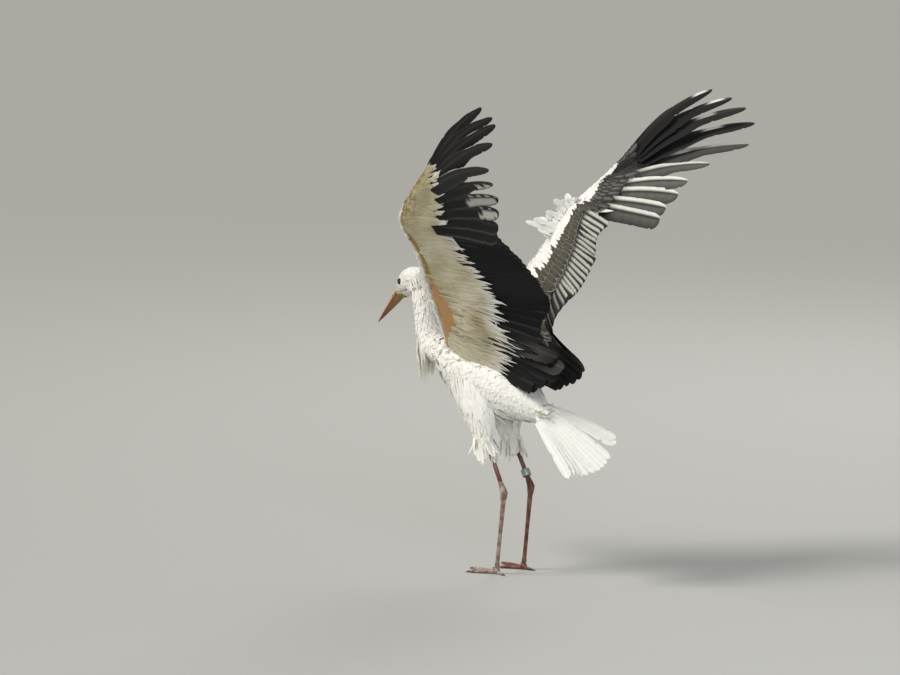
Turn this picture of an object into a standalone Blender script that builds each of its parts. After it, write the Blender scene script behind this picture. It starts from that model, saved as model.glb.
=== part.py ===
"""White stork with raised wings, as the solids of a life-size still model.

All sizes below are in millimetres and become metres when a mesh is made. The bird faces -Y, its left
side is +X and it stands on z = 0. Wings, legs and feet are written for the left side and mirrored.
"""
import math

import bmesh
import bpy
from mathutils import Vector

MM = 0.001
GAP = 0.3
CENTRE_SHIFT = Vector((0.0, 68.5, 0.0))

# Trunk, out to the tips of its feathers: y, middle height, half width, height above and below it.
TRUNK_STATIONS = (
    (-250, 500, 10, 10, 10),
    (-238, 499, 34, 34, 36),
    (-208, 497, 57, 56, 69),
    (-165, 492, 71, 68, 89),
    (-115, 484, 76, 76, 98),
    (-65, 474, 75, 77, 92),
    (-15, 464, 68, 69, 82),
    (25, 455, 56, 54, 72),
    (60, 443, 44, 35, 60),
    (92, 430, 31, 20, 44),
    (112, 424, 20, 11, 30),
)
# Neck, from inside the trunk to inside the head: x, y, z and radius.
NECK_STATIONS = (
    (0, -140, 520, 52),
    (0, -200, 525, 47),
    (0, -252, 521, 39),
    (0, -296, 529, 33),
    (0, -324, 562, 31),
    (0, -336, 608, 27.5),
    (-2, -350, 648, 25.5),
    (-5, -374, 684, 24),
)
# Hanging plumes of the lower neck.
PLUME_COUNT = 9
PLUME_LENGTH = 96
PLUME_THICKNESS = 3

# Head: distance along its bent axis, half width, height above and below the axis.
HEAD_CENTRE = Vector((-6, -395, 684))
HEAD_YAW = math.radians(6)
NAPE_PITCH = math.radians(8)
BILL_PITCH = math.radians(41.5)
HEAD_STATIONS = (
    (-51, 6, 6, 6),
    (-43, 20, 19, 18),
    (-29, 26, 29, 27),
    (-8, 28, 34, 30),
    (12, 27, 34.5, 30),
    (30, 23.5, 30, 31.5),
    (46, 18.5, 23, 28.5),
    (58, 14.5, 17.5, 24),
    (65, 13, 15.5, 20.5),
)
EYE_RADIUS = 7.5
EYE_FORWARD = 19
EYE_UP = 7
EYE_OUT = 19.6
# Bill: part of its length, half width, culmen height and lower edge.
BILL_LENGTH = 130
BILL_STATIONS = (
    (0.00, 11.5, 14.5, -19.0),
    (0.18, 10.2, 11.8, -16.8),
    (0.42, 8.0, 8.3, -12.4),
    (0.66, 5.6, 5.2, -7.8),
    (0.86, 3.2, 2.7, -3.8),
    (1.00, 1.0, 0.9, -0.9),
)
UPPER_TIP_OVERHANG = 1.0

# Wing bones of the left side and its flight feathers, numbered from the outermost primary inwards.
SCAPULA = Vector((62, -98, 520))
ELBOW = Vector((158, -31, 698))
WRIST = Vector((278, -87, 880))
HAND = Vector((0.246, 0.805, 0.540))
LAST_ROOT = 140
PRIMARIES = 10
SECONDARIES = 18
TERTIALS = 7
WRIST_NUMBER = PRIMARIES - 0.5
ELBOW_NUMBER = WRIST_NUMBER + SECONDARIES
BODY_NUMBER = ELBOW_NUMBER + TERTIALS
FINGERS = 6
FEATHER_TIPS = (
    (0, 366, 315, 1190),
    (1, 382, 364, 1173),
    (2, 392, 402, 1151),
    (3, 414, 410, 1114),
    (4, 414, 391, 1057),
    (5, 346, 328, 1011),
    (6, 302, 299, 970),
    (7, 286, 280, 938),
    (8, 266, 255, 903),
    (9, 256, 244, 874),
    (10, 176, 149, 860),
    (18, 99, 180, 771),
    (23, 52, 182, 715),
    (27, 22, 160, 677),
    (28, 18, 134, 645),
    (29, 18, 128, 606),
    (30, 22, 154, 572),
    (31, 30, 222, 542),
    (32, 36, 210, 517),
    (33, 40, 172, 500),
    (34, 44, 128, 488),
)
LEADING_EDGE = (
    (0, 322, 45, 1005),
    (5, 304, -41, 937),
    (9.5, 281, -96, 884),
    (18, 212, -119, 797),
    (27.5, 156, -149, 712),
    (34.5, 50, -196, 552),
)
# Upper side of the wing, arm thickness, and how far the coverts hide the flight feathers.
WING_NORMALS = (
    (0, -0.93, 0.04, 0.37),
    (9.5, -0.85, -0.16, 0.51),
    (27.5, -0.80, -0.33, 0.50),
    (34.5, -0.84, -0.05, 0.54),
)
ARM_THICKNESS = ((0, 9), (5, 15), (9.5, 22), (18, 24), (27.5, 30), (34.5, 44))
COVERED = ((0, 0.28), (3, 0.33), (5, 0.38), (9.5, 0.42), (18, 0.40), (27.5, 0.42), (34.5, 0.45))
# Feather numbers at which the arm has its sections.
HAND_SECTIONS = (0, 1.5, 3.5, 5.5, 7.5, 9.5)
FOREARM_SECTIONS = (9.5, 12.5, 15.5, 18.5, 21.5, 24.5, 27.5)
UPPER_ARM_SECTIONS = (27.5, 29.5, 31.5, 33, 34.5)
ALL_SECTIONS = HAND_SECTIONS + FOREARM_SECTIONS[1:] + UPPER_ARM_SECTIONS[1:]
# The arm's inner end is drawn this far towards the trunk's middle at this height.
ARM_INSERTION = 0.45
ARM_INSERTION_HEIGHT = 480
CAMBER = 0.035
PRIMARY_BOW = 0.085
BLADE_THICKNESS = 1.0
REAR_HALF_THICKNESS = 1.6
OUTER_VANE = (15, 9)
INNER_VANE = (27, 17)
EMARGINATION = (0.45, 0.68)
# How far the scallops between feather tips cut into each row.
PRIMARY_NOTCH = 0.075
SECONDARY_NOTCH = 0.045
TERTIAL_NOTCH = 0.10
TAIL_NOTCH = 0.06

# Lifted coverts of the right wrist, by the feather numbers they stand over.
RUFFLE_COUNT = 7
RUFFLE_INNER = 15.8
RUFFLE_OUTER = 9.5
RUFFLE_NOTCH = 0.4
RUFFLE_THICKNESS = 1.5
RUFFLE_CLEARANCE = 2.4
# Their reach off the wing, forward and towards the hand, from the innermost feather to the outermost.
RUFFLE_LIFT = ((68, 0, -15), (13, 16, 25))

# Tail: tips of some of its feathers, numbered from the right edge.
TAIL_BASE = Vector((4, 102, 420))
TAIL_NORMAL = Vector((0.74, 0.44, 0.505))
TAIL_ACROSS = Vector((0.62, -0.34, -0.62))
TAIL_SPREAD = 48
TAIL_FEATHERS = 12
TAIL_TIPS = (
    (0, -75, 292, 364),
    (1, -73, 296, 352),
    (2, -55, 294, 318),
    (5, -32, 283, 290),
    (8, -2, 250, 272),
    (11, 36, 246, 272),
)
TAIL_COVERED = 0.34

# Legs of the left side; the right foot is set a little further forward.
HIP = Vector((46, -92, 440))
LEFT_LEG = (Vector((50, -45, 338)), Vector((41, 14, 207)), Vector((31, -25, 0)))
RIGHT_LEG = (Vector((46, -60, 333)), Vector((50, 9, 214)), Vector((59, -28, 0)))
# Thigh: part of the way from hip to knee, half width, half length and shift to the front.
THIGH_STATIONS = (
    (-0.25, 32, 52, 0),
    (0.0, 35, 60, 0),
    (0.32, 34, 60, 4),
    (0.62, 30, 48, 8),
    (0.85, 24, 36, 10),
)
# Ragged hem of the thigh around the knee, and the radius of the bare leg's opening.
HEM = (19, 27)
HEM_SHIFT = 10
HEM_DROP = (6, 32)
HEM_OPENING = 7.6
TIBIA_TOP = Vector((0, -1, 3))
TOES = (("middle", 4, 84, 5.6), ("inner", -34, 62, 5.0), ("outer", 37, 68, 5.2), ("hind", 172, 27, 4.6))
TOE_STATIONS = ((0, 1.0), (0.34, 0.98), (0.66, 0.9), (0.97, 0.72))
CLAW_LENGTH = 12
CLAW_STATIONS = ((0, 0.84, 1.0), (0.35, 0.72, 1.0), (0.7, 0.5, 0.75), (1, 0.25, 0.42))
TOE_SINK = 0.88
WEB_REACH = 0.34
WEB_HEIGHTS = (2.2, 4.4)
PAD_RADIUS = 9
PAD_SINK = 1.2
RING_INNER_RADIUS = 9.4
RING_OUTER_RADIUS = 11.0
RING_HEIGHT = 18
RING_PLACE = 0.25

COLOURS = {
    "plumage": ("#F2EFE6", 0.85),
    "flight": ("#1C1A1B", 0.5),
    "bill": ("#A3532F", 0.4),
    "leg": ("#8C4A35", 0.5),
    "claw": ("#2A211D", 0.4),
    "eye": ("#17110E", 0.08),
    "ring": ("#A9B3A8", 0.35),
}


def clear_scene():
    for item in list(bpy.data.objects):
        bpy.data.objects.remove(item, do_unlink=True)


def new_collection(name):
    collection = bpy.data.collections.new(name)
    bpy.context.scene.collection.children.link(collection)
    return collection


def finish_material(name, kind):
    """A plain finish in the piece's own colour."""
    colour, roughness = COLOURS[kind]
    channels = [int(colour[i:i + 2], 16) / 255 for i in (1, 3, 5)]
    linear = [c / 12.92 if c <= 0.04045 else ((c + 0.055) / 1.055) ** 2.4 for c in channels]
    material = bpy.data.materials.new(name)
    material.use_nodes = True
    shader = material.node_tree.nodes["Principled BSDF"]
    shader.inputs["Base Color"].default_value = (*linear, 1)
    shader.inputs["Roughness"].default_value = roughness
    shader.inputs["Metallic"].default_value = 0.9 if kind == "ring" else 0.0
    return material


def smooth_row(table, x):
    """Row of a table (x, a, b, ...) at x, on a smooth curve through its rows."""
    last = len(table) - 1
    k = 0
    while k < last - 1 and x > table[k + 1][0]:
        k += 1
    before, here, there, after = (table[min(max(i, 0), last)] for i in (k - 1, k, k + 1, k + 2))
    span = there[0] - here[0]
    t = min(max((x - here[0]) / span, 0.0), 1.0)
    values = []
    for c in range(1, len(here)):
        lean_here = (there[c] - before[c]) / (there[0] - before[0]) * span
        lean_there = (after[c] - here[c]) / (after[0] - here[0]) * span
        values.append(
            (2 * t**3 - 3 * t**2 + 1) * here[c]
            + (t**3 - 2 * t**2 + t) * lean_here
            + (3 * t**2 - 2 * t**3) * there[c]
            + (t**3 - t**2) * lean_there
        )
    return values


def straight_row(table, x):
    """Row of a table (x, a, b, ...) at x, on straight lines between its rows."""
    k = 0
    while k < len(table) - 2 and x > table[k + 1][0]:
        k += 1
    here, there = table[k], table[k + 1]
    t = min(max((x - here[0]) / (there[0] - here[0]), 0.0), 1.0)
    return [a + (b - a) * t for a, b in zip(here[1:], there[1:])]


def mirrored(point, side):
    return Vector((point[0] * side, point[1], point[2]))


def add_mesh(name, bm, kind, collection):
    """Object from a mesh in millimetres, closed and with its faces pointing out."""
    bmesh.ops.remove_doubles(bm, verts=bm.verts, dist=0.001)
    bmesh.ops.recalc_face_normals(bm, faces=bm.faces)
    for vert in bm.verts:
        vert.co = (vert.co + CENTRE_SHIFT) * MM
    mesh = bpy.data.meshes.new(name)
    bm.to_mesh(mesh)
    bm.free()
    mesh.shade_smooth()
    mesh.set_sharp_from_angle(angle=math.radians(40))
    mesh.materials.append(finish_material(name, kind))
    item = bpy.data.objects.new(name, mesh)
    collection.objects.link(item)
    if collection == CUTTERS:
        item.hide_render = True
        item.display_type = "WIRE"
    return item


def add_rings(bm, rings, laddered):
    """Closed tube through rings of equal point count; laddered ends are rows of rungs across a ring."""
    rows = [[bm.verts.new(point) for point in ring] for ring in rings]
    count = len(rows[0])
    for row, after in zip(rows, rows[1:]):
        for i in range(count):
            bm.faces.new((row[i], row[(i + 1) % count], after[(i + 1) % count], after[i]))
    for row in (rows[0], rows[-1]):
        if not laddered:
            bm.faces.new(row)
            continue
        bm.faces.new((row[-1], row[0], row[1]))
        for i in range(1, count // 2):
            bm.faces.new((row[i], row[i + 1], row[-i - 1], row[-i]))


def loft(name, rings, kind, collection, laddered=False):
    bm = bmesh.new()
    add_rings(bm, rings, laddered)
    return add_mesh(name, bm, kind, collection)


def plate(name, rows, thickness, kind, collection):
    """Thin curved plate over a grid of points."""
    bm = bmesh.new()
    grid = [[bm.verts.new(point) for point in row] for row in rows]
    for row, after in zip(grid, grid[1:]):
        for i in range(len(row) - 1):
            bm.faces.new((row[i], row[i + 1], after[i + 1], after[i]))
    item = add_mesh(name, bm, kind, collection)
    solid = item.modifiers.new("Thickness", "SOLIDIFY")
    solid.thickness = thickness * MM
    solid.offset = 0.0
    return item


def boolean(item, other, operation):
    change = item.modifiers.new(operation.title() + " " + other.name, "BOOLEAN")
    change.operation = operation
    change.solver = "EXACT"
    change.object = other


def oval(centre, across, up, half_width, above, below, count):
    """Ring of points around centre, with its own heights above and below."""
    ring = []
    for i in range(count):
        angle = 2 * math.pi * i / count
        height = above if math.sin(angle) > 0 else below
        ring.append(centre + across * half_width * math.cos(angle) + up * height * math.sin(angle))
    return ring


def frames_along(points):
    """Across and up directions at each point of a path in the bird's middle plane or near it."""
    frames = []
    for i, point in enumerate(points):
        ahead = points[min(i + 1, len(points) - 1)] - points[max(i - 1, 0)]
        ahead.normalize()
        across = Vector((1, 0, 0)) - ahead * ahead.x
        across.normalize()
        frames.append((point, across, across.cross(ahead)))
    return frames


def trunk_rings(extra):
    rings = []
    steps = 15
    for i in range(steps + 1):
        place = i / steps
        y = TRUNK_STATIONS[0][0] + (TRUNK_STATIONS[-1][0] - TRUNK_STATIONS[0][0]) * place
        if i == 0 or i == steps:
            y += -extra if i == 0 else extra
        height, width, above, below = smooth_row(TRUNK_STATIONS, y)
        centre = Vector((0, y, height))
        across, up = Vector((1, 0, 0)), Vector((0, 0, 1))
        rings.append(oval(centre, across, up, width + extra, above + extra, below + extra, 20))
    return rings


def neck_rings(extra):
    rows = [(i, *row) for i, row in enumerate(NECK_STATIONS)]
    steps = 2 * (len(rows) - 1)
    values = [smooth_row(rows, i / 2) for i in range(steps + 1)]
    path = [Vector(value[:3]) for value in values]
    rings = []
    for (point, across, up), value in zip(frames_along(path), values):
        radius = value[3] + extra
        rings.append(oval(point, across, up, radius, radius, radius, 16))
    return rings


def head_frame(distance):
    """Point on the bent head axis with its forward, left and up directions."""
    point = HEAD_CENTRE.copy()
    first, last = HEAD_STATIONS[0][0], HEAD_STATIONS[-1][0]
    steps = 24

    def pitch_at(d):
        return NAPE_PITCH + (BILL_PITCH - NAPE_PITCH) * (d - first) / (last - first)

    def ahead_at(d):
        pitch = pitch_at(d)
        level = Vector((-math.sin(HEAD_YAW), -math.cos(HEAD_YAW), 0))
        return level * math.cos(pitch) + Vector((0, 0, -math.sin(pitch)))

    for i in range(steps):
        point += ahead_at(distance * (i + 0.5) / steps) * (distance / steps)
    ahead = ahead_at(distance)
    left = Vector((math.cos(HEAD_YAW), -math.sin(HEAD_YAW), 0))
    return point, ahead, left, ahead.cross(left)


def head_rings(extra):
    rings = []
    for distance, width, above, below in HEAD_STATIONS:
        outward = extra * min(max(distance / 40, -1), 1)
        point, _, left, up = head_frame(distance + outward)
        rings.append(oval(point, left, up, width + extra, above + extra, below + extra, 16))
    return rings


def eye_centre(side):
    point, _, left, up = head_frame(EYE_FORWARD)
    return point + left * side * EYE_OUT + up * EYE_UP


def sphere(name, centre, radius, kind, collection):
    bm = bmesh.new()
    bmesh.ops.create_uvsphere(bm, u_segments=10, v_segments=7, radius=radius)
    bmesh.ops.translate(bm, verts=bm.verts, vec=centre)
    return add_mesh(name, bm, kind, collection)


def bill_half(name, top):
    """One mandible: a half oval section, flat where the two meet."""
    point, ahead, left, up = head_frame(HEAD_STATIONS[-1][0])
    start = point + ahead * GAP
    rings = []
    arc = 6
    for part, width, culmen, lower in BILL_STATIONS:
        length = BILL_LENGTH if top else BILL_LENGTH - UPPER_TIP_OVERHANG
        centre = start + ahead * length * part
        height = culmen if top else lower
        meet = (GAP / 2) if top else -(GAP / 2)
        ring = []
        for i in range(arc + 1):
            angle = math.pi * i / arc
            reach = meet + (height - meet) * math.sin(angle) ** 0.8
            ring.append(centre + left * width * math.cos(angle) + up * reach)
        rings.append(ring)
    return loft(name, rings, "bill", BIRD)


def feather_root(number):
    if number <= WRIST_NUMBER:
        return WRIST + HAND * (LAST_ROOT * (1 - number / WRIST_NUMBER))
    if number <= ELBOW_NUMBER:
        return WRIST.lerp(ELBOW, (number - WRIST_NUMBER) / SECONDARIES)
    return ELBOW.lerp(SCAPULA, (number - ELBOW_NUMBER) / TERTIALS)


def wing_frame(number):
    """Root, feather vector, forward and upper directions of a flight feather of the left wing."""
    root = feather_root(number)
    vector = Vector(smooth_row(FEATHER_TIPS, number)) - root
    along = vector.normalized()
    normal = Vector(straight_row(WING_NORMALS, number))
    normal = (normal - along * normal.dot(along)).normalized()
    return root, vector, along.cross(normal), normal


def wing_point(number, part):
    """Point on a flight feather's middle line, from its root (0) to its tip (1)."""
    root, vector, forward, normal = wing_frame(number)
    arch = 4 * part * (1 - part) * vector.length
    bow = PRIMARY_BOW * max(0.0, 1 - number / WRIST_NUMBER)
    return root + vector * part + normal * arch * CAMBER + forward * arch * bow


def covered_part(number):
    return straight_row(COVERED, number)[0]


def rear_edge(number, stations):
    """Rear edge of the coverts: straight between the arm's sections."""
    k = 0
    while k < len(stations) - 2 and number > stations[k + 1]:
        k += 1
    t = (number - stations[k]) / (stations[k + 1] - stations[k])
    ends = [wing_point(n, covered_part(n)) for n in (stations[k], stations[k + 1])]
    return ends[0].lerp(ends[1], t)


def arm_section(number):
    """Leading edge, thickest place, rear edge and upper direction of the arm at a feather's root."""
    root, _, _, normal = wing_frame(number)
    lead = Vector(smooth_row(LEADING_EDGE, number))
    rear = wing_point(number, covered_part(number))
    chord = rear - lead
    place = (root - lead).dot(chord) / chord.length_squared
    return lead, lead.lerp(rear, min(max(place, 0.25), 0.5)), rear, normal


def arm_ring(number, side, slide):
    """Section of the arm from its leading edge to the rear edge of its coverts, moved along the bones."""
    lead, spine, rear, normal = arm_section(number)
    front, middle = lead.lerp(spine, 0.35), spine.lerp(rear, 0.5)
    half = straight_row(ARM_THICKNESS, number)[0] / 2
    edge = REAR_HALF_THICKNESS
    ring = [
        lead,
        front + normal * half * 0.75,
        spine + normal * half,
        middle + normal * half * 0.7,
        rear + normal * edge,
        rear - normal * edge,
        middle - normal * half * 0.4,
        spine - normal * half * 0.85,
        front - normal * half * 0.6,
    ]
    outward = (feather_root(number - 0.5) - feather_root(number + 0.5)).normalized()
    return [mirrored(point + outward * slide, side) for point in ring]


def arm_rings(sections, side):
    last = len(sections) - 1
    rings = []
    for i, number in enumerate(sections):
        slide = -GAP if i == 0 and number > 0 else (GAP if i == last else 0)
        rings.append(arm_ring(number, side, slide))
    return rings


def make_wing(side, label):
    loft(f"hand_{label}", arm_rings(HAND_SECTIONS, side), "plumage", BIRD, True)
    loft(f"forearm_{label}", arm_rings(FOREARM_SECTIONS, side), "plumage", BIRD, True)
    upper = arm_rings(UPPER_ARM_SECTIONS, side)
    inner = [point.lerp(Vector((0, point.y, ARM_INSERTION_HEIGHT)), ARM_INSERTION) for point in upper[-1]]
    upper_arm = loft(f"upper_arm_{label}", upper + [inner], "plumage", BIRD, True)
    boolean(upper_arm, TRUNK_CUTTER, "DIFFERENCE")
    boolean(upper_arm, NECK_CUTTER, "DIFFERENCE")
    for number in range(FINGERS):
        finger(f"primary_{PRIMARIES - number}_{label}", number, side)
    inner_count = PRIMARIES - FINGERS
    panel(f"inner_primaries_{label}", FINGERS, inner_count, side, PRIMARY_NOTCH, 4)
    panel(f"secondaries_{label}", PRIMARIES, SECONDARIES, side, SECONDARY_NOTCH, 2)
    panel(f"tertials_{label}", PRIMARIES + SECONDARIES, TERTIALS, side, TERTIAL_NOTCH, 3)


def vane_start(number):
    """Where a flight feather comes out from under the coverts, clear of them."""
    direction = wing_frame(number)[1].normalized()
    return rear_edge(number, ALL_SECTIONS) + direction * GAP * 2


def vane_line(number, end, steps):
    """Points along a flight feather from the coverts to its end."""
    start = covered_part(number)
    offset = vane_start(number) - wing_point(number, start)
    line = []
    for i in range(steps + 1):
        t = i / steps
        line.append(wing_point(number, start + (end - start) * t) + offset * (1 - t))
    return line


def finger(name, number, side):
    """One of the outer primaries: it fills its share of the wing, then narrows and runs free."""
    steps = 8
    middle = vane_line(number, 1.0, steps)
    edges = []
    for shift, vane in ((-0.5, OUTER_VANE), (0.5, INNER_VANE)):
        if number + shift < 0:
            forward = wing_frame(number)[2]
            border = [point + forward * vane[1] for point in middle]
        else:
            border = vane_line(number + shift, 1.0, steps)
        edge = []
        for i, point in enumerate(middle):
            away = border[i] - point
            t = i / steps
            narrowed = min(max((t - EMARGINATION[0]) / (EMARGINATION[1] - EMARGINATION[0]), 0), 1)
            full = vane[0] + (vane[1] - vane[0]) * narrowed
            rounding = min(1.0, 0.1 + 1.9 * math.sqrt(1 - t))
            width = min(full * rounding, away.length - GAP)
            edge.append(point + away.normalized() * width)
        edges.append(edge)
    rows = [[mirrored(p, side) for p in row] for row in zip(edges[0], middle, edges[1])]
    plate(name, rows, BLADE_THICKNESS, "flight", BIRD)


def panel(name, first, count, side, notch, steps):
    """Row of overlapping flight feathers as one plate with a scalloped edge."""
    columns = []
    for k in range(2 * count + 1):
        number = first - 0.5 + k / 2
        at_tip = k % 2 == 1
        line = vane_line(number, 1.0 if at_tip else 1.0 - notch, steps)
        if k in (0, 2 * count):
            toward = vane_line(number + (0.5 if k == 0 else -0.5), 1.0, steps)
            line = [p + (q - p).normalized() * GAP for p, q in zip(line, toward)]
        columns.append([mirrored(point, side) for point in line])
    plate(name, columns, BLADE_THICKNESS, "flight", BIRD)


def make_ruffle(side, label):
    """White coverts of one wrist that the wind has lifted off the front of the wing."""
    inner, outer = Vector(RUFFLE_LIFT[0]), Vector(RUFFLE_LIFT[1])
    columns = []
    for k in range(2 * RUFFLE_COUNT + 1):
        place = k / (2 * RUFFLE_COUNT)
        number = RUFFLE_INNER + (RUFFLE_OUTER - RUFFLE_INNER) * place
        lead, spine, _, normal = arm_section(number)
        half = straight_row(ARM_THICKNESS, number)[0] / 2
        outward = (feather_root(number - 0.5) - feather_root(number + 0.5)).normalized()
        forward = normal.cross(outward)
        start = lead.lerp(spine, 0.5) + normal * (half * 0.81 + RUFFLE_CLEARANCE)
        reach = inner.lerp(outer, place)
        lift = normal * reach.x + forward * reach.y + outward * reach.z
        lift *= 1.0 if k % 2 else 1.0 - RUFFLE_NOTCH
        columns.append([mirrored(start + lift * part, side) for part in (0, 0.5, 1)])
    plate(f"wrist_coverts_{label}", columns, RUFFLE_THICKNESS, "plumage", BIRD)


def tail_root(number):
    across = number / (TAIL_FEATHERS - 1) - 0.5
    return TAIL_BASE + TAIL_ACROSS.normalized() * across * TAIL_SPREAD


def tail_point(number, part):
    return tail_root(number).lerp(Vector(smooth_row(TAIL_TIPS, number)), part)


def tail_panel(name, first, last, right_flare, left_flare):
    """Some of the tail feathers as one plate; a flare widens it beyond the outer feather's middle."""
    across = TAIL_ACROSS.normalized()
    count = last - first + 1
    steps = 4
    columns = []
    for k in range(2 * count + 1):
        number = min(max(first - 0.5 + k / 2, 0), TAIL_FEATHERS - 1)
        end = 1.0 if k % 2 else 1.0 - TAIL_NOTCH
        flare = right_flare if k == 0 else (left_flare if k == 2 * count else (0, 0))
        direction = (tail_point(number, 1) - tail_root(number)).normalized()
        column = []
        for i in range(steps + 1):
            t = i / steps
            point = tail_point(number, TAIL_COVERED + (end - TAIL_COVERED) * t)
            point += direction * GAP * 2 * (1 - t) + across * (flare[0] + (flare[1] - flare[0]) * t)
            column.append(point)
        columns.append(column)
    plate(name, columns, BLADE_THICKNESS * 1.2, "plumage", BIRD)


def make_tail():
    """Coverts over the tail's base, then the right feathers apart from the rest of the fan."""
    normal = TAIL_NORMAL.normalized()
    rings = []
    for number in range(TAIL_FEATHERS):
        rear = tail_point(number, TAIL_COVERED)
        front = tail_root(number) + Vector((0, 3, -1))
        middle = front.lerp(rear, 0.5)
        bulge = 1 - (2 * number / (TAIL_FEATHERS - 1) - 1) ** 2
        above = 3 + 9 * bulge
        below = 4 + 22 * bulge
        rings.append([
            front + normal * above, middle + normal * above * 0.8, rear + normal * REAR_HALF_THICKNESS,
            rear - normal * REAR_HALF_THICKNESS, middle - normal * below * 0.7, front - normal * below,
        ])
    coverts = loft("tail_coverts", rings, "plumage", BIRD)
    boolean(coverts, TRUNK_CUTTER, "DIFFERENCE")
    tail_panel("tail_right", 0, 1, (-2, -9), (-0.6, -2.0))
    tail_panel("tail_fan", 2, TAIL_FEATHERS - 1, (0.6, 2.0), (14, 7))


def make_plumes():
    """Curtain of long pointed feathers that hangs from the front of the lower neck."""
    columns = []
    for k in range(2 * PLUME_COUNT + 1):
        angle = math.radians(-100 + 200 * k / (2 * PLUME_COUNT))
        out = Vector((math.sin(angle), -math.cos(angle), 0))
        top = Vector((0, -314, 0)) + Vector((out.x * 33, out.y * 44, 0))
        top.z = 524 - 10 * math.cos(angle) ** 2
        at_tip = k % 2 == 1
        variety = 0.78 + 0.22 * math.cos(2.3 * k)
        length = PLUME_LENGTH * (variety if at_tip else 0.45) * (0.55 + 0.45 * math.cos(angle / 1.4) ** 2)
        inward = Vector((-out.x * 12, -out.y * 9 + 4, 0))
        column = []
        for i in range(4):
            t = i / 3
            column.append(top + inward * t + Vector((0, 0, -length * t)))
        columns.append(column)
    plumes = plate("breast_plumes", columns, PLUME_THICKNESS, "plumage", BIRD)
    boolean(plumes, NECK_CUTTER, "DIFFERENCE")


def make_leg(side, label, knee, ankle, foot):
    """Feathered thigh with a ragged hem, then bare tibia, shank and foot."""
    down = (ankle - knee).normalized()
    across, ahead = Vector((1, 0, 0)), Vector((0, 1, 0))
    count = 14
    rings = []
    for part, width, length, shift in THIGH_STATIONS:
        centre = HIP.lerp(knee, part) - ahead * shift
        rings.append(oval(centre, across, ahead, width, length, length, count))
    ragged = []
    for i, point in enumerate(oval(knee - ahead * HEM_SHIFT, across, ahead, HEM[0], HEM[1], HEM[1], count)):
        ragged.append(point + down * HEM_DROP[i % 2] * (0.7 + 0.3 * math.sin(2.1 * i)))
    rings.append(ragged)
    opening = knee + TIBIA_TOP + Vector((0, 0, 5))
    rings.append(oval(opening, across, ahead, HEM_OPENING, HEM_OPENING, HEM_OPENING, count))
    rings = [[mirrored(point, side) for point in ring] for ring in rings]
    thigh = loft(f"thigh_{label}", rings, "plumage", BIRD)
    boolean(thigh, TRUNK_CUTTER, "DIFFERENCE")
    make_shank(side, label, knee + TIBIA_TOP, ankle, foot)
    make_foot(side, label, foot)


def make_shank(side, label, top, ankle, foot):
    """Tibia and shank as one limb, parted across the ankle joint."""
    down = (ankle - top).normalized()
    sole = foot + Vector((0, 0, 9))
    axis = (sole - ankle).normalized()
    path = (
        (top, 5.6, 6.6),
        (top.lerp(ankle, 0.45), 5.2, 5.8),
        (top.lerp(ankle, 0.82), 5.6, 6.4),
        (ankle - down * 8, 8.2, 9.2),
        (ankle, 9.0, 10.4),
        (ankle + axis * 10, 8.0, 10.0),
        (ankle + axis * 24, 5.6, 7.4),
        (ankle.lerp(sole, 0.5), 4.8, 5.6),
        (sole - axis * 26, 5.0, 5.6),
        (sole - axis * 12, 6.4, 6.6),
        (sole - axis * (PAD_RADIUS + 0.8), 6.6, 6.6),
    )
    joint = 4
    rings = []
    for (point, across, up), row in zip(frames_along([row[0] for row in path]), path):
        rings.append([mirrored(p, side) for p in oval(point, across, up, row[1], row[2], row[2], 10)])
    slide = mirrored((down + axis).normalized() * GAP / 2, side)
    above = [point - slide for point in rings[joint]]
    below = [point + slide for point in rings[joint]]
    loft(f"tibia_{label}", rings[:joint] + [above], "leg", BIRD)
    loft(f"shank_{label}", [below] + rings[joint + 1:], "leg", BIRD)


def toe_direction(angle):
    turn = math.radians(angle)
    return Vector((math.sin(turn), -math.cos(turn), 0))


def make_foot(side, label, foot):
    """Pad and four toes, joined, with webs between the front toes and the underside cut flat."""
    pad_centre = foot + Vector((0, 0, PAD_RADIUS - PAD_SINK))
    pad = sphere(f"foot_{label}", mirrored(pad_centre, side), PAD_RADIUS, "leg", BIRD)
    up = Vector((0, 0, 1))
    ends = {}
    for toe, angle, length, radius in TOES:
        direction = toe_direction(angle)
        across = Vector((-direction.y, direction.x, 0))
        rings = []
        for part, share in TOE_STATIONS:
            size = radius * share
            centre = foot + direction * length * part + up * (size * TOE_SINK)
            rings.append([mirrored(p, side) for p in oval(centre, across, up, size, size, size, 7)])
        tip = loft(f"{toe}_toe_{label}", rings, "leg", CUTTERS)
        boolean(pad, tip, "UNION")
        ends[toe] = foot + direction * length * 0.97
        make_claw(f"claw_{toe}_{label}", foot, direction, length, radius * 0.72, side)
    for other in ("inner", "outer"):
        corners = [foot.lerp(ends["middle"], WEB_REACH), foot.lerp(ends[other], WEB_REACH), foot]
        hollow = (corners[0] + corners[1]) / 2
        corners.insert(1, foot.lerp(hollow, 0.86))
        rings = [[mirrored(p + up * height, side) for p in corners] for height in WEB_HEIGHTS]
        web = loft(f"web_{other}_{label}", rings, "leg", CUTTERS)
        boolean(pad, web, "UNION")
    boolean(pad, FLOOR_CUTTER, "DIFFERENCE")


def make_claw(name, foot, direction, length, radius, side):
    """Short blunt claw that points down to the floor."""
    across = Vector((-direction.y, direction.x, 0))
    up = Vector((0, 0, 1))
    start = foot + direction * (length * 0.97 + GAP)
    rings = []
    for part, share, height in CLAW_STATIONS:
        size = radius * share
        centre = start + direction * CLAW_LENGTH * part + up * (radius * 0.95 * height)
        rings.append([mirrored(p, side) for p in oval(centre, across, up, size * 0.8, size, size, 6)])
    loft(name, rings, "claw", BIRD)


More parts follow.
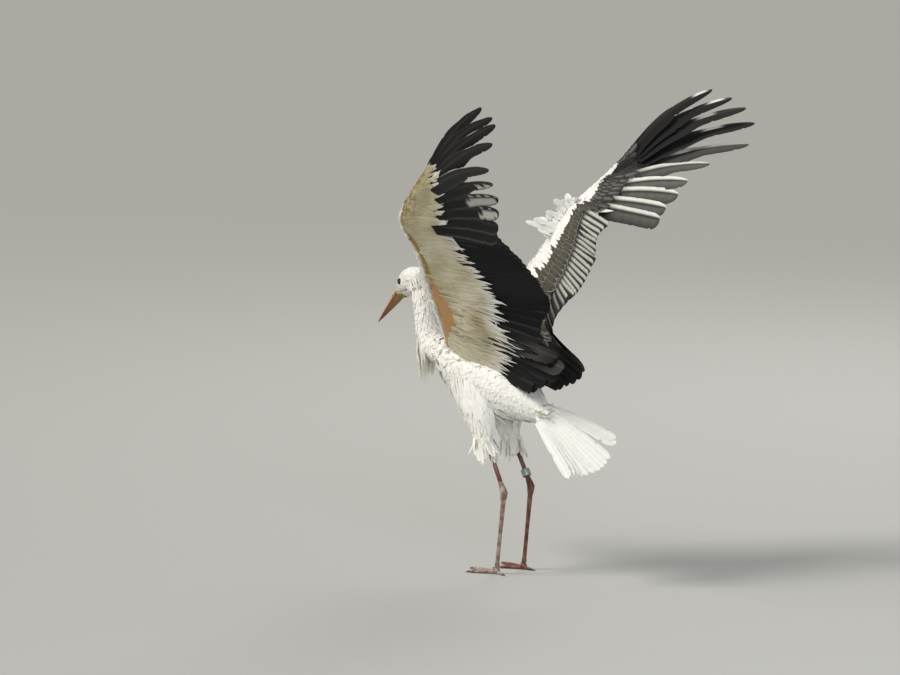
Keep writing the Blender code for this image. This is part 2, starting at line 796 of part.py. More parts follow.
def make_ring():
    """Band around the right tibia, just above its joint."""
    knee, ankle, _ = RIGHT_LEG
    top = knee + TIBIA_TOP
    centre = ankle.lerp(top, RING_PLACE)
    axis = (top - ankle).normalized()
    across = Vector((1, 0, 0))
    ahead = axis.cross(across)
    count = 24
    bm = bmesh.new()
    rows = []
    for radius, height in ((RING_OUTER_RADIUS, -1), (RING_OUTER_RADIUS, 1),
                           (RING_INNER_RADIUS, 1), (RING_INNER_RADIUS, -1)):
        row = oval(centre + axis * height * RING_HEIGHT / 2, across, ahead, radius, radius, radius, count)
        rows.append([bm.verts.new(mirrored(point, -1)) for point in row])
    for k in range(4):
        row, after = rows[k], rows[(k + 1) % 4]
        for i in range(count):
            bm.faces.new((row[i], row[(i + 1) % count], after[(i + 1) % count], after[i]))
    add_mesh("leg_ring", bm, "ring", BIRD)


def make_body():
    loft("trunk", trunk_rings(0), "plumage", BIRD)
    neck = loft("neck", neck_rings(0), "plumage", BIRD)
    boolean(neck, TRUNK_CUTTER, "DIFFERENCE")
    head_cutter = loft("head_cutter", head_rings(GAP), "plumage", CUTTERS)
    boolean(neck, head_cutter, "DIFFERENCE")
    head = loft("head", head_rings(0), "plumage", BIRD)
    for side, label in ((1, "left"), (-1, "right")):
        sphere(f"eye_{label}", eye_centre(side), EYE_RADIUS, "eye", BIRD)
        socket = sphere(f"socket_{label}", eye_centre(side), EYE_RADIUS + GAP, "eye", CUTTERS)
        boolean(head, socket, "DIFFERENCE")
    bill_half("bill_upper", True)
    bill_half("bill_lower", False)


clear_scene()
BIRD = new_collection("White_stork")
CUTTERS = new_collection("Cutters")
TRUNK_CUTTER = loft("trunk_cutter", trunk_rings(GAP), "plumage", CUTTERS)
NECK_CUTTER = loft("neck_cutter", neck_rings(GAP), "plumage", CUTTERS)
floor_block = bmesh.new()
bmesh.ops.create_cube(floor_block, size=600)
bmesh.ops.translate(floor_block, verts=floor_block.verts, vec=(0, 0, -300))
FLOOR_CUTTER = add_mesh("floor_cutter", floor_block, "leg", CUTTERS)
make_body()
make_plumes()
make_tail()
for wing_side, wing_label in ((1, "left"), (-1, "right")):
    make_wing(wing_side, wing_label)
make_leg(1, "left", *LEFT_LEG)
make_leg(-1, "right", *RIGHT_LEG)
make_ring()
make_ruffle(-1, "right")
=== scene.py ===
import math

import bpy
import numpy as np
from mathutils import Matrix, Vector
from mathutils.bvhtree import BVHTree
from mathutils.kdtree import KDTree


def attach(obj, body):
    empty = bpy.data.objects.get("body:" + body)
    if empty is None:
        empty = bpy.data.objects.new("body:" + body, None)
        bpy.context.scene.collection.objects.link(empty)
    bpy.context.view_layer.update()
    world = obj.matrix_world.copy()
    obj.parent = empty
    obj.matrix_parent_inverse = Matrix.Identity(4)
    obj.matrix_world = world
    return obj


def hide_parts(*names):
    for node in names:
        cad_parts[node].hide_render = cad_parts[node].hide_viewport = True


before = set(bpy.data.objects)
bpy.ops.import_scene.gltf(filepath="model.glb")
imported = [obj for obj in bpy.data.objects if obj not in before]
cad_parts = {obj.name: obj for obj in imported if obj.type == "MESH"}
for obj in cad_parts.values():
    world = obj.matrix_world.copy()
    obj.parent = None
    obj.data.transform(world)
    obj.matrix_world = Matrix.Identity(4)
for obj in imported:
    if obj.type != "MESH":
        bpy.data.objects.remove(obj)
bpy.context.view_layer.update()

bpy.ops.object.select_all(action="DESELECT")

# Plain studio: a matt painted floor as wide as a hall, one broad key from the bird's left and front, a
# soft fill behind it, a rim light on its right and an even pale surround that meets the floor far away.
FLOOR_WIDTH = 120
FLOOR_COLOUR = "#ADAEAD"
SURROUND_COLOUR = "#CBCAC2"
SURROUND_STRENGTH = 0.67
KEY_PLACE = Vector((3.6, -1.9, 4.4))
KEY_STRENGTH = 2.3
KEY_SPREAD = 0.4
LAMPS = (
    ("Fill", Vector((2.6, 4.6, 2.6)), 110, 3.0, "#F3F6FF"),
    ("Rim", Vector((-3.4, -1.8, 3.6)), 60, 2.0, "#FFFFFF"),
)
LAMP_TARGET = Vector((0, 0, 0.6))
VIEW_TARGET = Vector((0.066, -0.0925, 0.573))
VIEW_BACK = Vector((0.6366, 0.7586, 0.1392))
VIEW_DISTANCE = 12.0
VIEW_LENS = 196


def linear(hex_colour):
    """sRGB hex value as linear red, green and blue."""
    channels = [int(hex_colour[i:i + 2], 16) / 255 for i in (1, 3, 5)]
    return [c / 12.92 if c <= 0.04045 else ((c + 0.055) / 1.055) ** 2.4 for c in channels]


def new_material(name, roughness):
    material = bpy.data.materials.new(name)
    material.use_nodes = True
    shader = material.node_tree.nodes["Principled BSDF"]
    shader.inputs["Roughness"].default_value = roughness
    return material, shader


bpy.ops.mesh.primitive_plane_add(size=FLOOR_WIDTH, location=(0, 0, 0))
floor = bpy.context.object
floor.name = "studio_floor"
# Emulsion paint, rolled on: even and without any gloss.
matt_paint, paint_shader = new_material("Matt_studio_paint", 0.9)
paint_shader.inputs["Base Color"].default_value = (*linear(FLOOR_COLOUR), 1)
floor.data.materials.append(matt_paint)

world = bpy.data.worlds.new("Pale_surround")
bpy.context.scene.world = world
world.use_nodes = True
surround = world.node_tree.nodes["Background"]
surround.inputs["Color"].default_value = (*linear(SURROUND_COLOUR), 1)
surround.inputs["Strength"].default_value = SURROUND_STRENGTH
bpy.context.scene.view_settings.view_transform = "Standard"
bpy.ops.object.light_add(type="SUN", location=KEY_PLACE)
key = bpy.context.object
key.name = "Key"
key.data.energy = KEY_STRENGTH
key.data.angle = KEY_SPREAD
key.data.color = linear("#FFF9F0")
key.rotation_euler = KEY_PLACE.to_track_quat("Z", "Y").to_euler()
for light_name, place, power, size, tint in LAMPS:
    bpy.ops.object.light_add(type="AREA", location=place)
    lamp = bpy.context.object
    lamp.name = light_name
    lamp.data.energy = power
    lamp.data.size = size
    lamp.data.color = linear(tint)
    lamp.rotation_euler = (LAMP_TARGET - place).to_track_quat("-Z", "Y").to_euler()

bpy.ops.object.camera_add(location=VIEW_TARGET + VIEW_BACK.normalized() * VIEW_DISTANCE)
camera = bpy.context.object
camera.data.sensor_width = 36
camera.data.lens = VIEW_LENS
camera.data.clip_end = 200
camera.rotation_euler = VIEW_BACK.to_track_quat("Z", "Y").to_euler()
bpy.context.scene.camera = camera

# Wing skeleton: the bones' line, the feather tips and the leading edge of the left wing in millimetres,
# over the same joints as the solids. Flight feathers are numbered from the outermost inwards, and each
# table's rows start with such a number. The right wing is the same, mirrored.
ORIGIN_SHIFT = Vector((0, 68.5, 0))
SCAPULA = Vector((62, -98, 520))
ELBOW = Vector((158, -31, 698))
WRIST = Vector((278, -87, 880))
HAND_LINE = Vector((0.246, 0.805, 0.540))
HAND_ROOTS = 140
WRIST_NUMBER = 9.5
ELBOW_NUMBER = 27.5
LAST_NUMBER = 34.5
FEATHER_TIPS = (
    (0, 366, 315, 1190),
    (1, 382, 364, 1173),
    (2, 392, 402, 1151),
    (3, 414, 410, 1114),
    (4, 414, 391, 1057),
    (5, 346, 328, 1011),
    (6, 302, 299, 970),
    (7, 286, 280, 938),
    (8, 266, 255, 903),
    (9, 256, 244, 874),
    (10, 176, 149, 860),
    (18, 99, 180, 771),
    (23, 52, 182, 715),
    (27, 22, 160, 677),
    (28, 18, 134, 645),
    (29, 18, 128, 606),
    (30, 22, 154, 572),
    (31, 30, 222, 542),
    (32, 36, 210, 517),
    (33, 40, 172, 500),
    (34, 44, 128, 488),
)
LEADING_EDGE = (
    (0, 322, 45, 1005),
    (5, 304, -41, 937),
    (9.5, 281, -96, 884),
    (18, 212, -119, 797),
    (27.5, 156, -149, 712),
    (34.5, 50, -196, 552),
)
WING_NORMALS = (
    (0, -0.93, 0.04, 0.37),
    (9.5, -0.85, -0.16, 0.51),
    (27.5, -0.80, -0.33, 0.50),
    (34.5, -0.84, -0.05, 0.54),
)
ARM_THICKNESS = ((0, 9), (5, 15), (9.5, 22), (18, 24), (27.5, 30), (34.5, 44))
COVERED = ((0, 0.28), (3, 0.33), (5, 0.38), (9.5, 0.42), (18, 0.40), (27.5, 0.42), (34.5, 0.45))
CAMBER = 0.035
PRIMARY_BOW = 0.085
REAR_HALF_THICKNESS = 1.6
ARM_STEP = 0.25


def smooth_row(table, x):
    """Row of a table (x, a, b, ...) at x, on a smooth curve through its rows."""
    last = len(table) - 1
    k = 0
    while k < last - 1 and x > table[k + 1][0]:
        k += 1
    before, here, there, after = (table[min(max(i, 0), last)] for i in (k - 1, k, k + 1, k + 2))
    span = there[0] - here[0]
    t = min(max((x - here[0]) / span, 0.0), 1.0)
    values = []
    for c in range(1, len(here)):
        lean_here = (there[c] - before[c]) / (there[0] - before[0]) * span
        lean_there = (after[c] - here[c]) / (after[0] - here[0]) * span
        values.append(
            (2 * t**3 - 3 * t**2 + 1) * here[c]
            + (t**3 - 2 * t**2 + t) * lean_here
            + (3 * t**2 - 2 * t**3) * there[c]
            + (t**3 - t**2) * lean_there
        )
    return values


def straight_row(table, x):
    """Row of a table (x, a, b, ...) at x, on straight lines between its rows."""
    places = [row[0] for row in table]
    return [float(np.interp(x, places, [row[c] for row in table])) for c in range(1, len(table[0]))]


def feather_root(number):
    if number <= WRIST_NUMBER:
        return WRIST + HAND_LINE * (HAND_ROOTS * (1 - number / WRIST_NUMBER))
    if number <= ELBOW_NUMBER:
        return WRIST.lerp(ELBOW, (number - WRIST_NUMBER) / (ELBOW_NUMBER - WRIST_NUMBER))
    return ELBOW.lerp(SCAPULA, (number - ELBOW_NUMBER) / (LAST_NUMBER - ELBOW_NUMBER))


def wing_frame(number):
    """Root, feather vector, forward and upper directions of a flight feather."""
    root = feather_root(number)
    vector = Vector(smooth_row(FEATHER_TIPS, number)) - root
    along = vector.normalized()
    normal = Vector(straight_row(WING_NORMALS, number))
    normal = (normal - along * normal.dot(along)).normalized()
    return root, vector, along.cross(normal), normal


def wing_point(number, part):
    """Point on a flight feather's shaft, from its root (0) to its tip (1)."""
    root, vector, forward, normal = wing_frame(number)
    arch = 4 * part * (1 - part) * vector.length
    bow = PRIMARY_BOW * max(0.0, 1 - number / WRIST_NUMBER)
    return root + vector * part + normal * arch * CAMBER + forward * arch * bow


def arm_table():
    """Leading edge, rear edge, upper direction, half thickness and thickest place along the arm."""
    rows = []
    for number in np.arange(0, LAST_NUMBER + 0.01, ARM_STEP):
        root, _, _, normal = wing_frame(number)
        lead = Vector(smooth_row(LEADING_EDGE, number))
        rear = wing_point(number, straight_row(COVERED, number)[0])
        chord = rear - lead
        place = min(max((root - lead).dot(chord) / chord.length_squared, 0.25), 0.5)
        half = straight_row(ARM_THICKNESS, number)[0] / 2
        rows.append((number, *lead, *rear, *normal, half, place))
    return np.array(rows)


ARM = arm_table()


def arm_surface(number, part, upper, lift, fill=1.0):
    """Points on the arm's upper (1) or under (-1) side, at parts of the way from front to rear edge."""
    row = [np.interp(number, ARM[:, 0], ARM[:, c]) for c in range(1, 12)]
    lead, rear, normal = (np.stack(row[i:i + 3], -1) for i in (0, 3, 6))
    normal /= np.linalg.norm(normal, axis=-1, keepdims=True)
    half, place = row[9], row[10]
    rise = (0.75, 1.0, 0.7) if upper > 0 else (0.6, 0.85, 0.4)
    places = (0 * place, 0.35 * place, place, (1 + place) / 2, 0 * place + 1)
    heights = (0 * half, rise[0] * half, rise[1] * half, rise[2] * half, 0 * half + REAR_HALF_THICKNESS)
    height = 0 * half + REAR_HALF_THICKNESS
    for k in range(4):
        share = (part - places[k]) / (places[k + 1] - places[k])
        here = heights[k] + (heights[k + 1] - heights[k]) * share
        height = np.where((share >= 0) & (share <= 1), here, height)
    point = lead + (rear - lead) * part[..., None]
    return point + normal * (upper * (height * fill + lift))[..., None], normal * upper


def placed(points, side):
    """Millimetres of the left wing as metres in the bird's frame, mirrored for the right side."""
    out = np.array(points, float) + np.array(ORIGIN_SHIFT)
    out[..., 0] *= side
    return out * 0.001


def millimetres(points):
    """Metres in the bird's frame as the millimetres that its sizes are given in."""
    return points * 1000 - np.array(ORIGIN_SHIFT)


# Skin: one soft body under the feathers with bare legs and face. It is laid inside the solids by the
# coat's depth, merged so that no joint shows, and carries the colours that the feathers over it have.
COAT_DEPTH = {"trunk": 6, "neck": 5.5, "thigh": 7, "upper_arm": 4, "tail_coverts": 3.5, "head": 1.2}
SAME_POINT = 0.00002
FINE_VOXEL = 0.0017
BODY_VOXEL = 0.0034
SIDES = ((1, "left"), (-1, "right"))


def pick_only(*items):
    """Selects just these objects, the first of them as the active one."""
    bpy.ops.object.select_all(action="DESELECT")
    for item in items:
        item.select_set(True)
    bpy.context.view_layer.objects.active = items[0]


def on_all_faces(operator, **settings):
    """Runs a mesh operator on the whole of the active object."""
    bpy.ops.object.mode_set(mode="EDIT")
    bpy.ops.mesh.select_all(action="SELECT")
    operator(**settings)
    bpy.ops.object.mode_set(mode="OBJECT")


def finish_with(item, kind, **settings):
    """Gives the active object a modifier and applies it."""
    modifier = item.modifiers.new(kind.capitalize(), kind)
    for key, value in settings.items():
        setattr(modifier, key, value)
    bpy.ops.object.modifier_apply(modifier=modifier.name)


def copy_of(nodes, name, depth_of=None):
    """Merged copy of some CAD nodes, each drawn in by its own depth."""
    copies = []
    for node in nodes:
        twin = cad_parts[node].copy()
        twin.data = twin.data.copy()
        twin.parent = None
        bpy.context.collection.objects.link(twin)
        for key in list(twin.keys()):
            del twin[key]
        pick_only(twin)
        on_all_faces(bpy.ops.mesh.remove_doubles, threshold=SAME_POINT)
        depth = (depth_of or {}).get(node.replace("_left", "").replace("_right", ""), 0)
        if depth:
            finish_with(twin, "DISPLACE", strength=-depth * 0.001, mid_level=0)
        copies.append(twin)
    pick_only(*copies)
    if len(copies) > 1:
        bpy.ops.object.join()
    body = bpy.context.object
    body.name = name
    body.data.materials.clear()
    return body


def remeshed(body, voxel, rounds):
    """Turns joined shells into one closed skin of even faces."""
    finish_with(body, "REMESH", mode="VOXEL", voxel_size=voxel)
    finish_with(body, "SMOOTH", iterations=rounds)
    return body


def positions(item):
    co = np.empty(len(item.data.vertices) * 3)
    item.data.vertices.foreach_get("co", co)
    return co.reshape(-1, 3)


def paint(item, colours):
    """Stores a colour for each point as the markings."""
    layer = item.data.color_attributes.new("Markings", "FLOAT_COLOR", "POINT")
    rgba = np.ones((len(colours), 4), np.float32)
    rgba[:, :3] = colours
    layer.data.foreach_set("color", rgba.ravel())


def colours_of(item):
    rgba = np.empty(len(item.data.vertices) * 4, np.float32)
    item.data.color_attributes["Markings"].data.foreach_get("color", rgba)
    return rgba.reshape(-1, 4)[:, :3]


def noise_at(points, size, seed):
    """Smooth noise between -1 and 1 from a few waves; size is the distance between its bumps."""
    chance = np.random.default_rng(seed)
    total = np.zeros(len(points))
    for _ in range(7):
        wave = chance.normal(size=3)
        wave *= chance.uniform(0.6, 1.5) * 2 * math.pi / size / np.linalg.norm(wave)
        total += np.sin(points @ wave + chance.uniform(0, 7))
    return total / 7 ** 0.5 / 1.5


PALETTE = {}


def add_colours(**values):
    """Adds named sRGB colours to the palette, as linear ones."""
    for name, value in values.items():
        PALETTE[name] = np.array(linear(value))


add_colours(white="#FAF9F5", cream="#E2DABF", olive="#B9AE86", tan="#A0803F", black="#0E0D0F")
add_colours(pink="#C6945F", leg_red="#7E3D2A", leg_dark="#4A241A", chalk="#B9AEA4")
# chin: olive that is painted shade with green reflected from the grass, for the bare chin and the lower edge
# of the bill.
add_colours(eye_skin="#0E0C0D", face="#E2DAB0", chin="#8C7A42")


def clamped(share):
    return np.clip(share, 0, 1)


def mixed(a, b, share):
    """Colours from a to b, each the name of one in the palette or an array of them."""
    share = clamped(share)[..., None]
    a, b = (PALETTE[colour] if isinstance(colour, str) else colour for colour in (a, b))
    return a * (1 - share) + b * share


def leg_markings(points):
    """Dull red legs, darker in patches, with a chalky left shank."""
    colour = mixed("leg_red", "leg_dark", 0.45 + 0.5 * noise_at(points, 0.05, 3))
    chalky = (points[:, 0] > 0) & (points[:, 2] < 0.235)
    share = np.where(chalky, 0.62 + 0.5 * noise_at(points, 0.018, 4), 0.08 + 0.25 * noise_at(points, 0.02, 5))
    return mixed(colour, "chalk", share * 0.8)


# Head: the frame that the face, eyes and bill are set in, along an axis that bends from nape to bill.
HEAD_CENTRE = Vector((-6, -395, 684))
HEAD_YAW = math.radians(6)
NAPE_PITCH = math.radians(8)
BILL_PITCH = math.radians(41.5)
NAPE_PLACE = -51
BILL_PLACE = 65
EYE_RADIUS = 7.5
EYE_FORWARD = 19
EYE_UP = 7
EYE_OUT = 19.6


def head_frame(distance):
    """Point on the head's axis with its forward, left and up directions."""
    point = HEAD_CENTRE.copy()
    steps = 24

    def ahead_at(d):
        pitch = NAPE_PITCH + (BILL_PITCH - NAPE_PITCH) * (d - NAPE_PLACE) / (BILL_PLACE - NAPE_PLACE)
        level = Vector((-math.sin(HEAD_YAW), -math.cos(HEAD_YAW), 0))
        return level * math.cos(pitch) + Vector((0, 0, -math.sin(pitch)))

    for i in range(steps):
        point += ahead_at(distance * (i + 0.5) / steps) * (distance / steps)
    ahead = ahead_at(distance)
    left = Vector((math.cos(HEAD_YAW), -math.sin(HEAD_YAW), 0))
    return point, ahead, left, ahead.cross(left)


HEAD_AXIS = [(d, *head_frame(d)) for d in range(-56, 80, 4)]
GAPE_LINE = ((-4, -25.5), (14, -21), (32, -16.5), (65, 0))


def head_places(points):
    """How far forward, left and up of the head's axis some points lie, in millimetres."""
    local = millimetres(points)
    centres = np.array([row[1] for row in HEAD_AXIS])
    nearest = np.argmin(np.linalg.norm(local[:, None] - centres[None], axis=2), axis=1)
    apart = local - centres[nearest]
    ahead, left, up = (np.array([row[k] for row in HEAD_AXIS])[nearest] for k in (2, 3, 4))
    start = np.array([row[0] for row in HEAD_AXIS])[nearest]
    return start + (apart * ahead).sum(1), (apart * left).sum(1), (apart * up).sum(1)


def face_markings(points):
    """Colours of the face and how bare it is: black round the eye, sallow lores, a chin in olive that is
    painted shade with green reflected from the grass, and painted shadow lines on the cheek.
    """
    forward, left, up = head_places(points)
    gape = np.interp(forward, *zip(*GAPE_LINE))
    lores = clamped((forward - 36 - 0.7 * np.abs(up - 2)) / 3)
    chin = clamped((gape - 4 - up) / 2) * clamped((forward - 33) / 4)
    cheek = clamped((forward - 8) / 10) * clamped((-2 - up) / 5) * (left > 6)
    colour = mixed("white", "face", np.maximum(lores, 0.3 * cheek))
    # Painted shade: the bare chin takes the olive of shade with reflected grass green.
    colour = mixed(colour, "chin", chin) * (1 + 0.12 * noise_at(points, 0.006, 11))[:, None]
    share = clamped((forward - EYE_FORWARD) / 17)
    line = np.hypot((forward - EYE_FORWARD) * (forward < EYE_FORWARD), up - EYE_UP + 3 * share)
    width = np.where(forward < EYE_FORWARD, 7.2, 7.2 * (1 - share) ** 0.7)
    ring = clamped((width + 0.8 * noise_at(points, 0.004, 12) - line) / 1.2 + 0.5)
    # Painted shadow: broken dark dashes on a line that runs back and down from behind the eye.
    shadow_dashes = (noise_at(points, 0.009, 13) > -0.3) & (forward < 4) & (forward > -26)
    streak = clamped(1.7 - np.abs(up - 4 - 0.65 * forward)) * shadow_dashes
    # Dark line along the gape: the gape itself near the bill, and further back on the cheek a painted shadow
    # line.
    gape_and_shadow_line = clamped(1.7 - np.abs(up - gape)) * (forward > -3)
    flecks = clamped(noise_at(points, 0.005, 14) * 3 - 2.4) * np.maximum(lores, cheek)
    mark = np.maximum.reduce([ring, streak * 0.75, gape_and_shadow_line * 0.9, flecks * 0.7]) * (np.abs(left) > 6)
    bare = np.maximum.reduce([lores, chin, ring * (np.abs(left) > 6)])
    return mixed(colour, "eye_skin", mark), bare


# Arms of the wings: a thin closed shell of flesh and skin for each, under the coverts of both faces. It
# has their colours, and a strip of bare mottled skin underneath, behind the leading edge.
# Rows of feather number and part of the way across the arm: where the black of the upper side begins,
# and the front and rear edge of the bare strip. A spot underneath also has its depth and its colour.
BLACK_FRONT = (
    (0, -0.1),
    (2, 0.16),
    (6, 0.3),
    (8, 0.52),
    (10, 0.64),
    (13, 0.62),
    (17, 0.54),
    (27.5, 0.56),
    (34.5, 0.5),
)
UNDER_SPOTS = ((29.8, 0.68, 0.6, PALETTE["tan"]), (31.5, 0.71, 0.55, PALETTE["olive"] * 0.4))
STRIP_ENDS = (11, 34.4)
STRIP_FRONT = ((11, 0.12), (14, 0.08), (25, 0.10), (28, 0.09), (31, 0.09), (33, 0.05), (34.4, 0.02))
STRIP_REAR = (
    (11, 0.13),
    (14, 0.19),
    (22, 0.18),
    (26, 0.17),
    (28, 0.24),
    (29.5, 0.38),
    (31, 0.33),
    (32.5, 0.20),
    (34.4, 0.07),
)
SHELL_FILL = 0.72


def mesh_of(name, points, quads, triangles):
    """Object from arrays of points in metres and of the corners of its faces."""
    mesh = bpy.data.meshes.new(name)
    corners = np.concatenate((quads.ravel(), triangles.ravel())).astype(np.int32)
    starts = np.concatenate((np.arange(len(quads)) * 4, len(quads) * 4 + np.arange(len(triangles)) * 3))
    mesh.vertices.add(len(points))
    mesh.vertices.foreach_set("co", points.astype(np.float32).ravel())
    mesh.loops.add(len(corners))
    mesh.polygons.add(len(starts))
    mesh.polygons.foreach_set("loop_start", starts.astype(np.int32))
    mesh.polygons.foreach_set("vertices", corners)
    mesh.update(calc_edges=True)
    mesh.validate()
    item = bpy.data.objects.new(name, mesh)
    bpy.context.collection.objects.link(item)
    return item


def ring_faces(rings, count):
    """Corners of the faces of a tube of rings, with both ends laddered shut."""
    quads, triangles = [], []
    for r in range(rings - 1):
        for i in range(count):
            j = (i + 1) % count
            quads.append((r * count + i, r * count + j, (r + 1) * count + j, (r + 1) * count + i))
    for base, turn in ((0, -1), ((rings - 1) * count, 1)):
        for corner in (base, base + count // 2):
            before = base + (corner - base - 1) % count
            triangles.append((before, corner, corner + 1)[::turn])
        for i in range(1, count // 2 - 1):
            row = (base + i, base + i + 1, base + count - i - 1, base + count - i)
            quads.append(row[::turn])
    return np.array(quads), np.array(triangles)


def wing_markings(numbers, parts, upper):
    """Colours of the arm: white and then black on its upper side; underneath cream going to olive, which is
    painted shade with reflected grass green, with tan blotches on the hand.
    """
    numbers, parts = np.broadcast_arrays(numbers, parts)
    spots = np.stack([numbers.ravel() * 0.01, parts.ravel() * 0.1, 0 * parts.ravel()], 1)
    wander = noise_at(spots, 0.05, 21).reshape(parts.shape)
    plain = np.ones((*parts.shape, 3))
    if upper > 0:
        behind = parts - np.interp(numbers, *zip(*BLACK_FRONT)) - 0.03 * wander
        return mixed(plain * PALETTE["white"], "black", behind * 30)
    hand = clamped((10.5 - numbers) / 3)
    # Painted shade: olive deepens towards the leading edge and on the hand, with green reflected from the
    # grass.
    shade = clamped(0.55 + 0.5 * wander - 0.45 * parts + 0.3 * hand)
    colour = mixed(plain * PALETTE["cream"], "olive", shade)
    blotches = clamped(0.5 + noise_at(spots, 0.012, 22).reshape(parts.shape))
    tan = hand * clamped((0.5 - parts) * 3) * blotches
    colour = mixed(colour, "tan", tan * 0.9)
    for number, part, deep, stain in UNDER_SPOTS:
        spot = np.exp(-((numbers - number) / 1.1) ** 2 - ((parts - part) / 0.09) ** 2)
        colour = mixed(colour, stain, deep * spot)
    edge = clamped((0.05 - parts) * 40) * (numbers > 7)
    return mixed(colour, "white", np.maximum(edge, np.clip((parts - 0.8) * 5, 0, 0.9)))


def bare_strip(numbers, parts):
    """Share of bare skin under the wing, behind the leading edge of the forearm and elbow."""
    front = np.interp(numbers, *zip(*STRIP_FRONT))
    rear = np.interp(numbers, *zip(*STRIP_REAR))
    inside = (numbers > STRIP_ENDS[0]) & (numbers < STRIP_ENDS[1])
    return clamped(np.minimum(parts - front, rear - parts) * 60) * inside


def wing_shell(side):
    """Flat shell of an arm between its two faces, in the colours of the coverts on each."""
    numbers = np.arange(0, LAST_NUMBER, 0.4)
    parts = np.concatenate((np.arange(0, 0.4, 0.02), np.linspace(0.4, 1, 7)))
    grid_n, grid_p = np.meshgrid(numbers, parts, indexing="ij")
    top, _ = arm_surface(grid_n, grid_p, 1, 0, SHELL_FILL)
    below, _ = arm_surface(grid_n, grid_p, -1, 0, SHELL_FILL)
    rings = np.concatenate((top[:, :], below[:, :0:-1]), axis=1)
    colours_top = wing_markings(grid_n, grid_p, 1)
    bare_colour = mixed("tan", "pink", 0.45 + (grid_n - 24) / 7 + 0.3 * np.sin(grid_n * 5 + grid_p * 60))
    colours_below = mixed(wing_markings(grid_n, grid_p, -1), bare_colour, bare_strip(grid_n, grid_p))
    colours = np.concatenate((colours_top, colours_below[:, :0:-1]), axis=1)
    quads, triangles = ring_faces(*rings.shape[:2])
    item = mesh_of("wing_shell", placed(rings.reshape(-1, 3), side), quads, triangles)
    paint(item, colours.reshape(-1, 3))
    return item


# Whole skin: trunk, neck, thighs, upper arms and the root of the tail merged to one body, then joined
# with the legs, the face, the shells of the arms and the lids, which are black rings round the eyes.
# One unwrap serves them all.
COLOUR_REACH = 0.026
LID_RADIUS = 0.0055
LID_HALF_WIDTH = 0.0013
LID_OUT = 5.4


def skin_in_wing_colours(skin, shells):
    """White skin that takes the shells' colours where it comes close to them."""
    shell_points = np.concatenate([positions(shell) for shell in shells])
    shell_colours = np.concatenate([colours_of(shell) for shell in shells])
    shell_spots = KDTree(len(shell_points))
    for index, spot in enumerate(shell_points):
        shell_spots.insert(spot, index)
    shell_spots.balance()
    colours = np.tile(PALETTE["white"] * 0.9, (len(skin.data.vertices), 1))
    for index, point in enumerate(positions(skin)):
        _, spot, apart = shell_spots.find(point)
        if apart < COLOUR_REACH:
            colours[index] = shell_colours[spot]
    paint(skin, colours)


def eye_place(side):
    """Centre of an eye and the way that it looks."""
    base, ahead, left, up = head_frame(EYE_FORWARD)
    outward = (left * side + up * 0.12 + ahead * 0.10).normalized()
    return base + left * side * EYE_OUT + up * EYE_UP, outward


def eyelid(side):
    middle, outward = eye_place(side)
    bpy.ops.mesh.primitive_torus_add(
        major_segments=40, minor_segments=12, major_radius=LID_RADIUS, minor_radius=LID_HALF_WIDTH,
        location=(middle + outward * LID_OUT + ORIGIN_SHIFT) * 0.001,
        rotation=outward.to_track_quat("Z", "Y").to_euler(),
    )
    lid = bpy.context.object
    bpy.ops.object.transform_apply(location=True, rotation=True, scale=True)
    paint(lid, np.tile(PALETTE["eye_skin"], (len(lid.data.vertices), 1)))
    return lid


def add_node(material, kind, settings=None, **links):
    """Adds a shader node; a link is (node, output) for the input whose name it carries."""
    node = material.node_tree.nodes.new(kind)
    for key, value in (settings or {}).items():
        if isinstance(key, int) or key in node.inputs:
            node.inputs[key].default_value = value
        else:
            setattr(node, key, value)
    for key, (source, output) in links.items():
        socket = node.inputs[int(key[1:])] if key[1:].isdigit() else node.inputs[key.replace("_", " ")]
        material.node_tree.links.new(source.outputs[output], socket)
    return node


def marked_material(name, roughness, grain, detail, low, high, relief=None):
    """Material in a piece's own markings, lighter and darker over a grain of so many millimetres.
    Its main nodes come with it, for what else a finish needs."""
    material, shader = new_material(name, roughness)
    marks = add_node(material, "ShaderNodeAttribute", {"attribute_name": "Markings"})
    place = add_node(material, "ShaderNodeTexCoord")
    mottle = add_node(
        material, "ShaderNodeTexNoise", {"Scale": 1000 / grain, "Detail": detail}, Vector=(place, "Object"),
    )
    tone = add_node(material, "ShaderNodeMapRange", {"To Min": low, "To Max": high}, Value=(mottle, "Fac"))
    tint = add_node(
        material, "ShaderNodeVectorMath", {"operation": "SCALE"}, _0=(marks, "Color"), Scale=(tone, "Result"),
    )
    material.node_tree.links.new(tint.outputs["Vector"], shader.inputs["Base Color"])
    if relief:
        bump = add_node(
            material, "ShaderNodeBump", {"Strength": 0.3, "Distance": relief}, Height=(mottle, "Fac"),
        )
        material.node_tree.links.new(bump.outputs["Normal"], shader.inputs["Normal"])
    return material, {"shader": shader, "place": place, "tint": tint}


def settle(item, material, slot_name, *nodes):
    """Gives a piece its material and body, and hides the solids that it stands for; slot_name is not used."""
    item.data.materials.append(material)
    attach(item, "root")
    if nodes:
        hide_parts(*nodes)


